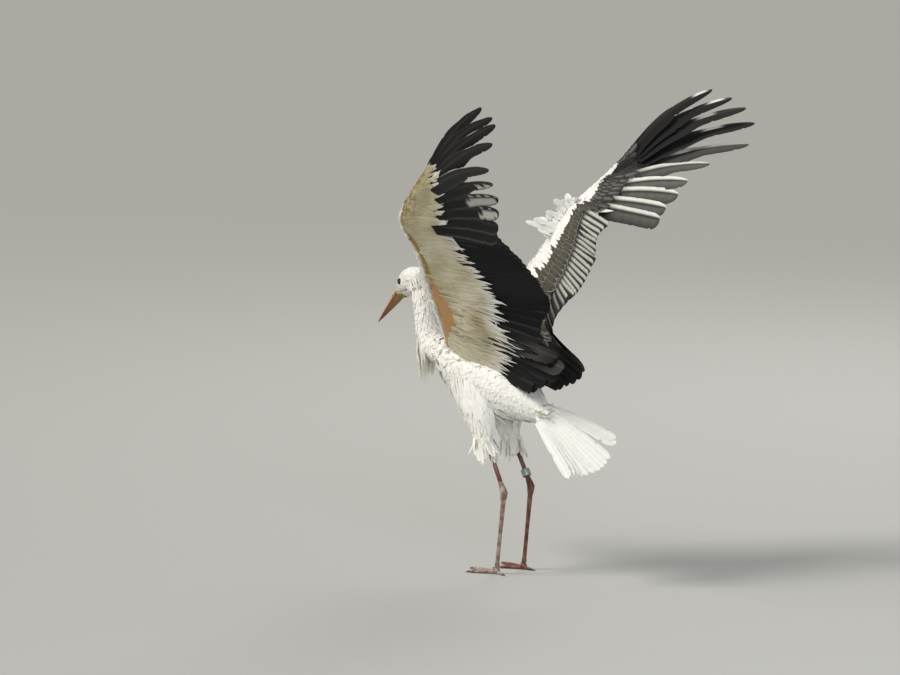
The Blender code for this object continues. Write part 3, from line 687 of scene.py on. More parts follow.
legs = copy_of([f"{part}_{label}" for part in ("tibia", "shank", "foot") for _, label in SIDES], "legs")
remeshed(legs, FINE_VOXEL, 3)
paint(legs, leg_markings(positions(legs)))
face = remeshed(copy_of(["head"], "face", COAT_DEPTH), FINE_VOXEL, 2)
paint(face, face_markings(positions(face))[0])
flesh_nodes = ["trunk", "neck", "tail_coverts"]
flesh_nodes += [f"{part}_{label}" for part in ("thigh", "upper_arm") for _, label in SIDES]
skin = remeshed(copy_of(flesh_nodes, "skin", COAT_DEPTH), BODY_VOXEL, 6)
shells = [wing_shell(side) for side, _ in SIDES]
skin_in_wing_colours(skin, shells)
lids = [eyelid(side) for side, _ in SIDES]
pick_only(skin, legs, face, *shells, *lids)
bpy.ops.object.join()
for mesh_layer in list(skin.data.uv_layers):
    skin.data.uv_layers.remove(mesh_layer)
on_all_faces(bpy.ops.uv.smart_project, angle_limit=math.radians(72), island_margin=0.002)
skin.data.uv_layers[0].name = "OFBake"
bpy.ops.object.shade_smooth()
# Living skin: soft and mottled, with flat scales 3 mm wide whose edges catch the light on the legs.
SCALE_WIDTH = 3.03
skin_leather, leather = marked_material(
    "Soft_and_scaled_skin", roughness=0.5, grain=6.25, detail=4.0, low=0.65, high=1.0,
)
scales = add_node(
    skin_leather, "ShaderNodeTexVoronoi", {"Scale": 1000 / SCALE_WIDTH}, Vector=(leather["place"], "Object"),
)
scale_bump = add_node(
    skin_leather, "ShaderNodeBump", {"Strength": 0.35, "Distance": 0.0006}, Height=(scales, "Distance"),
)
skin_leather.node_tree.links.new(scale_bump.outputs["Normal"], leather["shader"].inputs["Normal"])
skin.data.materials.clear()
skin.data.polygons.foreach_set("material_index", np.zeros(len(skin.data.polygons), np.int32))
skin_nodes = [*flesh_nodes, "head"]
for _, label in SIDES:
    skin_nodes += [f"{part}_{label}" for part in ("tibia", "shank", "foot", "forearm", "hand")]
settle(skin, skin_leather, "plumage", *skin_nodes)

# Vanes: every feather is a thin closed blade on a raised shaft, with barbs that split at its edges.
# It keeps a place on the skin's own unwrap, so that its colours can be drawn with the skin's.


def mesh_tree(meshes):
    """Tree for the nearest place on some meshes together."""
    points, faces, start = [], [], 0
    for mesh in meshes:
        points += [v.co[:] for v in mesh.vertices]
        faces += [[v + start for v in face.vertices] for face in mesh.polygons]
        start += len(mesh.vertices)
    return BVHTree.FromPolygons(points, faces)


def face_patches(mesh):
    """Middle of each face of the skin on its unwrap."""
    corners = np.empty(len(mesh.loops) * 2)
    mesh.uv_layers["OFBake"].data.foreach_get("uv", corners)
    corners = corners.reshape(-1, 2)
    starts = np.empty(len(mesh.polygons), np.int32)
    totals = np.empty(len(mesh.polygons), np.int32)
    mesh.polygons.foreach_get("loop_start", starts)
    mesh.polygons.foreach_get("loop_total", totals)
    return np.add.reduceat(corners, starts, axis=0) / totals[:, None]


SKIN_TREE = mesh_tree([skin.data])
SKIN_PATCHES = face_patches(skin.data)
TUFT_PATCH = 0.003
SHARP_BEND = 70


def patch_of(roots):
    """Place on the skin's unwrap under each root."""
    return np.array([SKIN_PATCHES[SKIN_TREE.find_nearest(root)[2]] for root in roots.tolist()])


def unit(vectors):
    return vectors / np.maximum(np.linalg.norm(vectors, axis=-1, keepdims=True), 1e-12)


def blades(name, centre, up, half, colour, columns=3, blade=0.00012, shaft=0.0003, droop=0.12, slant=0.0,
           under=None, patches=None, flip=False):
    """Closed blades along lines of points. half holds the widths before and behind the shaft,
    colour one colour for each point of each blade's grid; under is the same for the other face."""
    count, steps = centre.shape[:2]
    ahead = unit(np.gradient(centre, axis=1))
    across = unit(np.cross(ahead, up))
    up = unit(np.cross(across, ahead))
    across = across * (-1 if flip else 1)
    places = np.linspace(-1, 1, columns)
    ring = list(range(columns)) + [-k for k in range(columns - 2, 0, -1)]
    length = np.linalg.norm(np.diff(centre, axis=1), axis=2).sum(1)
    along = np.linspace(0, 1, steps)
    points, colours = np.empty((2, count, steps, len(ring), 3))
    vane, bake = np.empty((2, count, steps, len(ring), 2))
    taper = (1 - 0.8 * along)[None, :]
    for r, k in enumerate(ring):
        below = k < 0
        k = abs(k)
        x = places[k]
        width = half[..., 0] * -x if x < 0 else half[..., 1] * x
        offset = width * (-1 if x < 0 else 1)
        body = blade * (1 - x ** 4) + (shaft * taper if abs(x) < 0.01 else 0)
        height = (-body if below else body) - droop * np.abs(x) * width + slant * offset
        rise = up * np.broadcast_to(height, offset.shape)[..., None]
        points[:, :, r] = centre + across * offset[..., None] + rise
        source = colour if under is None or not below else under
        colours[:, :, r] = source[:, :, k] if source.ndim == 4 else source
        vane[:, :, r, 0] = offset
        vane[:, :, r, 1] = along[None, :] * length[:, None]
        bake[:, :, r, 0] = x / 2
        bake[:, :, r, 1] = along[None, :] - 0.5
    if patches is None:
        patches = patch_of(centre[:, 0])
        bake = patches[:, None, None] + bake * TUFT_PATCH
    else:
        bake = patches[:, None, None, :2] + (bake + 0.5) * patches[:, None, None, 2:]
    quads, triangles = ring_faces(steps, len(ring))
    if flip:
        quads, triangles = quads[:, ::-1], triangles[:, ::-1]
    shift = (np.arange(count) * steps * len(ring))[:, None, None]
    quads, triangles = (quads[None] + shift).reshape(-1, 4), (triangles[None] + shift).reshape(-1, 3)
    item = mesh_of(name, points.reshape(-1, 3), quads, triangles)
    paint(item, colours.reshape(-1, 3))
    corners = np.empty(len(item.data.loops), np.int32)
    item.data.loops.foreach_get("vertex_index", corners)
    for layer_name, values in (("OFBake", bake), ("Vane", vane)):
        layer = item.data.uv_layers.new(name=layer_name)
        layer.data.foreach_set("uv", values.reshape(-1, 2)[corners].astype(np.float32).ravel())
    item.data.uv_layers["OFBake"].active = True
    item.data.shade_smooth()
    item.data.set_sharp_from_angle(angle=math.radians(SHARP_BEND))
    return item


def strip_patches(count, gap):
    """A tall strip of the unwrap for each of a few large feathers, side by side."""
    return np.array([(k / count + gap / 2, 0.002, 1 / count - gap, 0.996) for k in range(count)])


def feather_material(name, roughness, gloss, barb, strength):
    """Keratin vane: satin, with barbs that slant back from the shaft in uneven clumps. Real barbs stand
    a third of a millimetre apart; they are drawn about 1 mm apart, so that they show."""
    material, base = marked_material(name, roughness, grain=14.3, detail=3.0, low=0.9, high=1.08)
    vane = add_node(material, "ShaderNodeUVMap", {"uv_map": "Vane"})
    parts = add_node(material, "ShaderNodeSeparateXYZ", Vector=(vane, "UV"))
    width = add_node(material, "ShaderNodeMath", {"operation": "ABSOLUTE"}, _0=(parts, "X"))
    back = add_node(
        material, "ShaderNodeMath", {"operation": "SUBTRACT"}, _0=(parts, "Y"), _1=(width, "Value"),
    )
    rows = add_node(material, "ShaderNodeMath", {"operation": "MULTIPLY", 1: 1 / barb}, _0=(back, "Value"))
    strands = add_node(
        material, "ShaderNodeMath", {"operation": "MULTIPLY", 1: 0.12 / barb}, _0=(parts, "X"),
    )
    barbs = add_node(material, "ShaderNodeCombineXYZ", X=(rows, "Value"), Y=(strands, "Value"))
    clumps = add_node(
        material, "ShaderNodeTexNoise", {"Scale": 1.0, "Detail": 2.0}, Vector=(barbs, "Vector"),
    )
    line = add_node(material, "ShaderNodeMapRange", {"To Min": 0.82, "To Max": 1.1}, Value=(clumps, "Fac"))
    final = add_node(
        material, "ShaderNodeVectorMath", {"operation": "SCALE"},
        _0=(base["tint"], "Vector"), Scale=(line, "Result"),
    )
    bump = add_node(
        material, "ShaderNodeBump", {"Strength": strength, "Distance": 0.0003}, Height=(clumps, "Fac"),
    )
    material.node_tree.links.new(final.outputs["Vector"], base["shader"].inputs["Base Color"])
    material.node_tree.links.new(bump.outputs["Normal"], base["shader"].inputs["Normal"])
    base["shader"].inputs["Specular IOR Level"].default_value = gloss
    return material


# Soft body feathers and coverts scatter the light and look matt; the flight feathers' stiffer vanes
# have a low sheen.
WHITE_FEATHER = feather_material(
    "White_feather_keratin", roughness=0.75, gloss=0.3, barb=0.0009, strength=0.2,
)
BLACK_FEATHER = feather_material(
    "Black_feather_keratin", roughness=0.5, gloss=0.2, barb=0.0011, strength=0.25,
)

# Flight feathers: stiff black blades, ten on the hand and the rest along the arm, each laid over the
# inner vane of the one outside it. Their outer webs have a silver bloom on the upper side.
add_colours(silver="#CFCFC6", slate="#3C3B3D")
FLIGHT_NUMBERS = [*range(27), *np.arange(27, 34.6, 0.6)]
FLIGHT_STEPS = 44
FLIGHT_COLUMNS = 9
# Painted highlights, pale silver patches where light catches the tips under some inner primaries: place along
# the feather, reach and how far forward.
PAINTED_HIGHLIGHT_PATCHES = {5: (0.88, 0.13, -0.35), 6: (0.76, 0.22, 0.35), 7: (0.86, 0.13, 0.2)}


def flight_widths(number, t):
    """Widths of the outer and inner vane along a flight feather, in millimetres."""
    finger = clamped((6.5 - number) / 1.5)
    outer = np.interp(number, (0, 5, 9, 12, 27, 34), (13, 12, 12, 10, 10, 13))
    inner = np.interp(number, (0, 5, 9, 12, 27, 34), (26, 27, 30, 27, 27, 30))
    notch = clamped((t - 0.45) / 0.22)
    notch = notch * notch * (3 - 2 * notch)
    outer = outer * (1 - finger * notch * 0.35)
    inner = inner * (1 - finger * notch * 0.36)
    point = clamped((1 - t) / np.interp(number, (0, 5, 8, 12), (0.34, 0.3, 0.14, 0.10)))
    round_off = np.sqrt(1 - (1 - point) ** 2)
    narrow = np.clip(t / 0.08, 0.15, 1)
    return outer * round_off * narrow, inner * round_off * narrow


def flight_colours(number, spread):
    """Upper and under colours of a flight feather: black, with a silver bloom on the webs above, painted
    white glints near the outer primaries' tips and painted highlights under some inner primaries.
    """
    across = np.linspace(-1, 1, FLIGHT_COLUMNS)[None, :]
    along = spread[:, None]
    bloom = np.interp(number, (0, 3.5, 4.2, 6, 8, 26, 28.5, 30), (0.02, 0.04, 0.55, 1.0, 1.0, 0.9, 0.25, 0))
    on_hand = clamped(WRIST_NUMBER + 0.5 - number)
    hand_web = np.interp(across, (-1, -0.4, -0.05, 0.2, 0.45, 1), (0.08, 0.2, 0.22, 0.5, 1.0, 1.0))
    arm_web = np.interp(across, (-0.1, 0.1, 0.4, 0.8, 1), (0, 0.3, 0.95, 0.9, 0.25))
    web = hand_web * on_hand + arm_web * (1 - on_hand)
    middle = np.exp(-(np.maximum(np.abs(along - 0.64) - 0.26, 0) / 0.16) ** 2)
    streak = 0.95 + 0.05 * np.sin(along * 47 + number * 3)
    # Painted highlight: white glints of sunlight on the upper side near the tips of the outer primaries.
    glint_place = np.interp(number, (0, 1, 2, 3, 4), (0.88, 0.86, 0.68, 0.68, 0.45))
    painted_glint = np.interp(number, (0, 3.5, 5), (1, 1, 0)) * np.exp(-((along - glint_place) / 0.07) ** 4)
    painted_glint = painted_glint * (across > 0.1)
    upper = mixed("black", "silver", clamped(bloom * middle * web * streak + painted_glint))
    upper = mixed(upper, "white", 0.5 * on_hand * bloom * middle * (across > 0.3) + 0.4 * painted_glint)
    upper = mixed(upper, "slate", clamped(-across * 0.15) + 0 * along)
    below = mixed("black", "slate", clamped(0.04 + 0.1 * across) + 0 * along)
    # Painted highlight: an irregular pale silver patch of light near the tip on the underside.
    if number in PAINTED_HIGHLIGHT_PATCHES:
        place, reach, front = PAINTED_HIGHLIGHT_PATCHES[number]
        wander = 0.035 * np.sin(along * 47 + number * 5 + 4 * across)
        wander = wander + 0.02 * np.sin(along * 130 + 9 * across)
        inside = np.minimum(reach - np.abs(along - place - 0.06 * across), (front - across) * 0.12) + wander
        below = mixed(below, PALETTE["silver"] * 0.95, np.clip(inside * 45, 0, 0.85))
    shaft = np.abs(across[0]) < 0.05
    upper[:, shaft] = mixed("black", "slate", np.full((len(spread), 1), 0.4))
    below[:, shaft] = mixed("black", "slate", np.full((len(spread), 1), 0.6))
    return upper, below


def layered_up(number, part):
    """Upper side of the sheet that a feather makes with its neighbours; the outer ones stand free."""
    _, vector, _, normal = wing_frame(number)
    outer = max(number - 1, 0) if abs(number - WRIST_NUMBER - 0.5) > 0.4 else number
    inner = min(number + 1, LAST_NUMBER) if abs(number - WRIST_NUMBER + 0.5) > 0.4 else number
    sheet = vector.cross(wing_point(outer, part) - wing_point(inner, part)).normalized()
    share = min(max((number - 4.5) / 2, 0), 1)
    return normal.lerp(sheet if sheet.dot(normal) > 0 else -sheet, share).normalized()


def flight_blades(side, label):
    """The flight feathers of one wing, with a few splits in each vane."""
    chance = np.random.default_rng(40 + side)
    t = np.linspace(0, 1, FLIGHT_STEPS)
    spread = 1 - (1 - t) ** 1.25
    count = len(FLIGHT_NUMBERS)
    centre = np.empty((count, FLIGHT_STEPS, 3))
    up = np.empty_like(centre)
    half = np.empty((count, FLIGHT_STEPS, 2))
    colour = np.empty((count, FLIGHT_STEPS, FLIGHT_COLUMNS, 3))
    under = np.empty_like(colour)
    for row, number in enumerate(FLIGHT_NUMBERS):
        covered = straight_row(COVERED, number)[0]
        rear = wing_point(number, covered)
        inward = (Vector(smooth_row(LEADING_EDGE, number)) - rear).normalized()
        first = covered * 0.62
        sway = chance.normal(0, 1, 2) * (0.4, 2.5)
        reach = 1 + chance.uniform(-0.012, 0.004)
        _, vector, forward, normal = wing_frame(number)
        for i, place in enumerate(spread):
            part = first + (reach - first) * place
            on_line = wing_point(number, max(part, covered))
            hidden = rear + inward * ((covered - part) * vector.length) if part < covered else on_line
            centre[row, i] = hidden + normal * (sway[0] * place ** 3) + forward * (sway[1] * place ** 3)
            up[row, i] = layered_up(number, max(part, covered))
        outer, inner = flight_widths(number, spread)
        ragged = np.ones((2, FLIGHT_STEPS))
        for vane in (0, 1):
            for _ in range(2):
                ragged[vane, chance.integers(14, FLIGHT_STEPS - 3)] *= 1 - chance.uniform(0.04, 0.16)
            ragged[vane] *= 1 + chance.normal(0, 0.012, FLIGHT_STEPS)
        half[row, :, 0] = inner * ragged[0]
        half[row, :, 1] = outer * ragged[1]
        colour[row], under[row] = flight_colours(number, spread)
    slant = np.interp(FLIGHT_NUMBERS, (4, 6, 9, 10), (0.06, 0.17, 0.17, 0.06))
    item = blades(
        f"flight_feathers_{label}", placed(centre, side), up * (side, 1, 1), half * 0.001, colour,
        columns=FLIGHT_COLUMNS, blade=0.0002, shaft=0.0006, droop=0.03, slant=slant[:, None], under=under,
        patches=strip_patches(count, 0.002), flip=side < 0,
    )
    nodes = [f"primary_{k}_{label}" for k in range(5, 11)]
    nodes += [f"{row}_{label}" for row in ("inner_primaries", "secondaries", "tertials")]
    settle(item, BLACK_FEATHER, "flight_feathers", *nodes)


for side, label in SIDES:
    flight_blades(side, label)

# Wing coverts: rows of small feathers that hide the roots of the flight feathers on both faces of the
# arm, black at the rear of the upper side, white in front, and soft cream with pointed tips underneath.
# A row: name, first and last number, count, start, end, half width, tip taper, lift of root and tip.
add_colours(umber="#4B4636")
COVERT_STEPS = 9
COVERT_COLUMNS = 5
UPPER_ROWS = (
    ("greater", 0.2, 34.2, 50, 0.46, 1.03, 11.5, 0.3, -1.0, 1.2),
    ("median", 0.4, 34.0, 58, 0.34, 0.76, 9.5, 0.35, -0.8, 1.5),
    ("inner_median", 0.6, 34.0, 64, 0.24, 0.58, 8.5, 0.4, -0.8, 1.5),
    ("lesser_4", 0.5, 34.0, 76, 0.18, 0.44, 7.2, 0.45, -0.8, 1.3),
    ("lesser_3", 0.7, 34.0, 84, 0.12, 0.33, 6.6, 0.45, -0.8, 1.2),
    ("lesser_2", 0.5, 34.0, 92, 0.06, 0.24, 6.0, 0.5, -0.8, 1.0),
    ("lesser_1", 0.4, 34.0, 100, 0.015, 0.15, 5.2, 0.5, -0.6, 0.9),
    ("margin", 0.2, 34.0, 110, 0.0, 0.075, 4.6, 0.5, -0.5, 0.7),
)
UNDER_ROWS = (
    ("greater", 0.2, 34.2, 70, 0.44, 1.06, 8.5, 0.8, -0.2, 2.6),
    ("median", 0.4, 34.0, 78, 0.34, 0.82, 8.0, 0.7, 0.0, 2.4),
    ("inner_median", 0.6, 34.0, 82, 0.26, 0.64, 7.5, 0.7, -0.6, 1.2),
    ("lesser_4", 0.5, 34.0, 90, 0.18, 0.48, 6.8, 0.7, -0.6, 1.1),
    ("lesser_3", 0.7, 34.0, 96, 0.12, 0.36, 6.2, 0.7, -0.6, 1.0),
    ("lesser_2", 0.5, 34.0, 100, 0.05, 0.25, 5.6, 0.6, -0.6, 0.8),
    ("margin", 0.2, 34.0, 116, 0.0, 0.11, 4.8, 0.6, -0.4, 0.5),
    ("axillary_outer", 27.0, 34.2, 30, 0.52, 1.16, 7.5, 0.95, 0.6, 2.6),
    ("axillary_middle", 27.4, 34.2, 30, 0.36, 1.00, 7.5, 0.95, 0.8, 3.0),
    ("axillary_inner", 27.4, 34.2, 30, 0.22, 0.80, 7.0, 0.95, 0.8, 3.2),
)


def covert_row(row, upper, chance):
    """Places, tips, grids and shapes of one row of coverts, and which of them cross no bare skin."""
    _, first, last, count, start, end, width, taper, low, high = row
    t = np.linspace(0, 1, COVERT_STEPS)[None, :]
    grid = np.linspace(first, last, 140)
    line, _ = arm_surface(grid, 0 * grid + (start + end) / 2, upper, 0 * grid)
    walked = np.concatenate(([0], np.cumsum(np.linalg.norm(np.diff(line, axis=0), axis=1))))
    number = np.interp(np.linspace(0, walked[-1], count), walked, grid) + chance.normal(0, 0.08, count)
    begin = start + chance.normal(0, 0.012, count)
    finish = end + chance.normal(0, 0.02 if upper > 0 else 0.045 * min(1, end * 2), count)
    if upper < 0 and 1 < end < 1.1:
        finish = finish + 0.16 * np.exp(-((number - WRIST_NUMBER - 0.4) / 0.9) ** 2)
    drift = chance.normal(0, 0.15 if upper > 0 else 0.5, count)
    numbers = np.clip(number[:, None] + drift[:, None] * t ** 1.5, 0, LAST_NUMBER - 0.01)
    parts = begin[:, None] + (finish - begin)[:, None] * t
    lift = low + (high - low) * t ** 0.8 + chance.normal(0, 0.25, count)[:, None] * t
    if upper < 0:
        lift = lift + np.clip(chance.normal(0, 0.8, count), 0, 3)[:, None] * t ** 2
    centre, up = arm_surface(numbers, parts, upper, lift)
    point = clamped((1 - t) / (0.3 + 0.6 * taper))
    shape = np.sqrt(1 - (1 - point) ** 2) * (1 - taper * 0.45 * t ** 2) * clamped(0.35 + t * 4)
    ragged = 1 + chance.normal(0, 0.03 + 0.10 * taper, (2, count, COVERT_STEPS))
    widths = width * chance.uniform(0.88, 1.12, count)[:, None]
    half = np.stack([np.maximum(widths * shape * edge, 0.25) for edge in ragged], -1)
    keep = np.ones(count, bool)
    if upper < 0:
        edge = begin + chance.normal(0, 0.016, count)
        way = finish - begin
        crossed = [bare_strip(number, edge + way * share) for share in (0.05, 0.3, 0.55, 0.8, 0.93)]
        keep = np.max(crossed, axis=0) < 0.6
    return number, finish, numbers, parts, centre, up, half, keep


def upper_covert_colours(colour, number, across, t):
    """White coverts as they are; dark ones brown or slate, with a pale rim and a fine pale shaft."""
    dark = colour[:, 0, 0].mean(1) < 0.3
    rim = clamped((across - 0.55) * 3) + clamped((t - 0.8) * 6) + 0 * colour[..., 0]
    fill = mixed("umber", "slate", clamped((WRIST_NUMBER + 1 - number) / 2))[:, None, None]
    brown = mixed(fill, "black", clamped(0.1 + 1.1 * rim))
    on_arm = np.clip((number - 8.5) / 2, 0.12, 1)[:, None, None]
    brown = mixed(brown, "silver", np.clip(rim - 0.8, 0, 0.6) * on_arm)
    brown = mixed(brown, "silver", (across < 0.1) * 0.22 * (1.12 - on_arm) * (t < 0.9))
    colour[dark] = brown[dark]
    return colour


def under_covert_colours(colour, row_name, numbers, parts, across, t, chance):
    """Cream coverts, darker along the shaft, some with painted shadow at their tips or edges in the armpit,
    for the gaps between feathers.
    """
    # Painted shadow: dark tips on the inner axillaries, for the gaps between them.
    gap_shadow_tip = np.clip((t - 0.86) * 5, 0, 0.6) * (row_name == "axillary_inner") + 0 * colour[..., 0]
    colour = mixed(colour * (1 - 0.16 * (1 - across))[..., None], "umber", gap_shadow_tip)
    # Painted shadow: dark edges on some coverts in the armpit, for the gaps between feather tips.
    in_armpit = (np.abs(numbers - 30.3) < 2.6) & (np.abs(parts - 0.46) < 0.16)
    marked = in_armpit & (chance.random(len(colour)) < 0.45)[:, None]
    return mixed(colour, "umber", marked[..., None] * np.clip(across * 2 - 1, 0, 0.8))


def lay_coverts(side, label, upper, rows, name):
    across = np.abs(np.linspace(-1, 1, COVERT_COLUMNS))[None, None, :]
    t = np.linspace(0, 1, COVERT_STEPS)[None, :, None]
    laid = []
    for k, row in enumerate(rows):
        chance = np.random.default_rng(60 + 10 * k + side + 3 * upper)
        number, finish, numbers, parts, centre, up, half, keep = covert_row(row, upper, chance)
        if upper > 0:
            base = wing_markings(number, finish - 0.04, upper)[:, None, None]
        else:
            base = wing_markings(numbers, parts - 0.03, upper)[:, :, None]
        colour = np.broadcast_to(base, (*centre.shape[:2], COVERT_COLUMNS, 3)).copy()
        tone = chance.uniform(0.9, 1.04, len(centre))[:, None, None, None]
        if upper > 0:
            colour = upper_covert_colours(colour, number, across, t)
        else:
            colour = under_covert_colours(colour, row[0], numbers, parts, across, t, chance)
        colour = (colour * tone)[keep]
        laid.append((placed(centre[keep], side), up[keep] * (side, 1, 1), half[keep] * 0.001, colour))
    item = blades(
        f"{name}_{label}", *[np.concatenate(arrays) for arrays in zip(*laid)],
        columns=COVERT_COLUMNS, blade=0.00016, shaft=0.00025, droop=0.07, slant=0.04 * upper, flip=side < 0,
    )
    settle(item, WHITE_FEATHER, "plumage")


for side, label in SIDES:
    lay_coverts(side, label, 1, UPPER_ROWS, "upper_coverts")
    lay_coverts(side, label, -1, UNDER_ROWS, "under_coverts")

# Body coat: small soft feathers over trunk, neck, head, thighs and rump, rooted at the skin and lying
# back along the body with their tips at the bird's outline. The face and crown have the smallest.
FORM_NODES = [*flesh_nodes, "head"]
FORM_TREE = mesh_tree([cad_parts[node].data for node in FORM_NODES])


def scatter(nodes, spacing, seed):
    """Evenly spread points and their normals on the open surface of some solids. Of many random points
    those are kept that have no other close by, and no other solid just above them."""
    chance = np.random.default_rng(seed)
    points, normals = [], []
    for node in nodes:
        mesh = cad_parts[node].data
        mesh.calc_loop_triangles()
        co = positions(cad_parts[node])
        corners = np.array([t.vertices[:] for t in mesh.loop_triangles])
        a, b, c = co[corners[:, 0]], co[corners[:, 1]], co[corners[:, 2]]
        normal = np.cross(b - a, c - a)
        area = np.linalg.norm(normal, axis=1) / 2
        count = int(area.sum() / spacing ** 2 * 6)
        pick = chance.choice(len(area), count, p=area / area.sum())
        u, v = chance.random((2, count, 1))
        u, v = np.where(u + v > 1, 1 - u, u), np.where(u + v > 1, 1 - v, v)
        points.append(a[pick] + (b - a)[pick] * u + (c - a)[pick] * v)
        normals.append(unit(normal)[pick])
    points, normals = np.concatenate(points), np.concatenate(normals)
    order = chance.permutation(len(points))
    taken, cells = [], {}
    for index in order:
        point = points[index]
        cell = tuple((point // spacing).astype(int))
        near = [
            other for dx in (-1, 0, 1) for dy in (-1, 0, 1) for dz in (-1, 0, 1)
            for other in cells.get((cell[0] + dx, cell[1] + dy, cell[2] + dz), ())
        ]
        if any(np.abs(points[other] - point).max() < spacing * 0.8 for other in near):
            continue
        start = Vector(point + normals[index] * 0.0004)
        if FORM_TREE.ray_cast(start, Vector(normals[index]), 0.004)[0] is not None:
            continue
        cells.setdefault(cell, []).append(index)
        taken.append(index)
    return points[taken], normals[taken]


def lie_along(points, normals, flow, length, steps, loose):
    """Lines of points over the body's surface from each root, along the coat's lie."""
    count = len(points)
    line = np.empty((count, steps, 3))
    up = np.empty((count, steps, 3))
    for i in range(count):
        point, normal, lie = Vector(points[i]), Vector(normals[i]), Vector(flow[i])
        step = length[i] / (steps - 1)
        free = loose[i]
        for k in range(steps):
            line[i, k], up[i, k] = point, normal
            lie = (lie - normal * lie.dot(normal)).normalized()
            target = point + lie * step
            found, found_normal, _, away = FORM_TREE.find_nearest(target)
            if free or away > step * 0.45 or found_normal.dot(normal) < 0.3:
                free = True
                point = target
            else:
                normal = (normal * 0.5 + found_normal * 0.5).normalized()
                point = found
    return line, up


def draped(points, normals, flow, length, steps, _):
    """Lines of points that bridge a hollow of the body, from each root to where the tip comes to lie."""
    t = np.linspace(0, 1, steps)[None, :, None]
    lie = unit(flow - normals * (flow * normals).sum(1)[:, None])
    aims = points + lie * length[:, None] + normals * 0.003
    found = [FORM_TREE.find_nearest(Vector(aim)) for aim in aims]
    tips, tip_normals = (np.array([row[k][:] for row in found]) for k in (0, 1))
    line = points[:, None] * (1 - t) + tips[:, None] * t
    up = unit(normals[:, None] * (1 - t) + tip_normals[:, None] * t)
    return line + up * np.sin(np.pi * t) * (0.06 * length)[:, None, None], up


def coat_patch(name, nodes, flow_of, colour_of, keep_of=None, *, spacing, length, width, depth, seed,
               tip=0.0003, ruffle=0.0, steps=6, size_of=None, hang=True, lay=lie_along):
    """A tract of body feathers. Those rooted where the surface faces along the lie hang free."""
    chance = np.random.default_rng(seed)
    points, normals = scatter(nodes, spacing, seed)
    if keep_of is not None:
        keep = keep_of(points)
        points, normals = points[keep], normals[keep]
    flow = unit(flow_of(points))
    open_side = (flow * normals).sum(1) > -0.8
    points, normals, flow = points[open_side], normals[open_side], flow[open_side]
    count = len(points)
    facing = (flow * normals).sum(1)
    loose = (facing > 0.7) & hang
    points[loose] -= flow[loose] * 0.010
    normals[loose] -= flow[loose] * facing[loose][:, None] - chance.normal(0, 0.1, (loose.sum(), 3))
    flow = flow + chance.normal(0, 0.14, (count, 3))
    size = chance.uniform(0.8, 1.2, count) * (1 if size_of is None else size_of(points))
    lines, up = lay(points, unit(normals), flow, length * size, steps, loose)
    near_tip = [rows[:, -1] * 0.75 + rows[:, -2] * 0.25 for rows in (lines, up)]
    lines, up = (np.insert(rows, steps - 1, row, axis=1) for rows, row in zip((lines, up), near_tip))
    t = np.insert(np.linspace(0, 1, steps), steps - 1, 1 - 0.25 / (steps - 1))[None, :]
    lift = np.clip(chance.normal(0, ruffle, count), -0.2 * ruffle, 2.5 * ruffle)[:, None] if ruffle else 0
    height = -depth * (1 - t) ** 1.4 + tip * t + lift * t ** 2
    centre = lines + up * height[..., None]
    shape = np.interp(t, (0, 0.25, 0.6, 0.8, 0.95, 1), (0.35, 0.85, 1.0, 0.9, 0.5, 0.1))
    ragged = 1 + chance.normal(0, 0.08, (2, count, steps + 1))
    broad = width * chance.uniform(0.85, 1.15, count) * (1 if size_of is None else np.sqrt(size_of(points)))
    half = broad[:, None, None] * (shape * ragged).transpose(1, 2, 0)
    # Darker towards the root: partly the greyer down there, partly painted shade where the root lies under
    # other feathers.
    colour = colour_of(points)[:, None] * (0.9 + 0.1 * t ** 0.7)[..., None]
    colour = np.broadcast_to(colour, centre.shape) * chance.uniform(0.95, 1.02, (count, 1, 1))
    item = blades(name, centre, up, half, colour, blade=0.00012, shaft=0.00012, droop=0.10)
    settle(item, WHITE_FEATHER, "plumage")


def white_coat(points):
    """White with a warm cream tint that comes and goes, stronger low down, under the breast and on the
    thighs.
    """
    low = clamped((0.50 - points[:, 2]) / 0.2) * 0.25 + 0.1
    return mixed("white", "cream", low * (0.5 + 0.5 * noise_at(points, 0.06, 31)))


def over_the_breast(points):
    """Away from the base of the neck over the breast, then back along the body."""
    local = millimetres(points)
    share = clamped((-110 - local[:, 1]) / 90)[:, None]
    return unit(local - (0, -285, 550)) * share + np.array((0.0, 1.0, -0.3)) * (1 - share)


NECK_LINE = np.array((
    (-6.0, -385, 690),
    (-3, -350, 648),
    (-1, -336, 608),
    (0, -324, 562),
    (0, -296, 529),
    (0, -252, 521),
    (0, -200, 525),
))


def down_the_neck(points):
    """Along the neck's line, from the nape to the back."""
    local = millimetres(points)
    middles = (NECK_LINE[1:] + NECK_LINE[:-1]) / 2
    ways = unit(np.diff(NECK_LINE, axis=0))
    near = np.linalg.norm(local[:, None] - middles[None], axis=2)
    weight = np.exp(-(near / 25) ** 2) + 1e-9
    return unit((weight[..., None] * ways[None]).sum(1)) + np.array((0, 0, -0.25))


def back_over_head(points):
    """Back from the bill over the head, and on down the neck."""
    forward, _, _ = head_places(points)
    ahead = np.array([row[2] for row in HEAD_AXIS])
    places = [row[0] for row in HEAD_AXIS]
    way = -np.stack([np.interp(forward, places, ahead[:, c]) for c in range(3)], 1)
    share = clamped((-forward - 15) / 30)[:, None]
    return way * (1 - share) + down_the_neck(points) * share


NECK_TREE, TRUNK_TREE = (mesh_tree([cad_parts[node].data]) for node in ("neck", "trunk"))


def distance_from(tree, points):
    return np.array([tree.find_nearest(Vector(point))[3] for point in points])


def face_colours(points):
    return face_markings(points)[0]


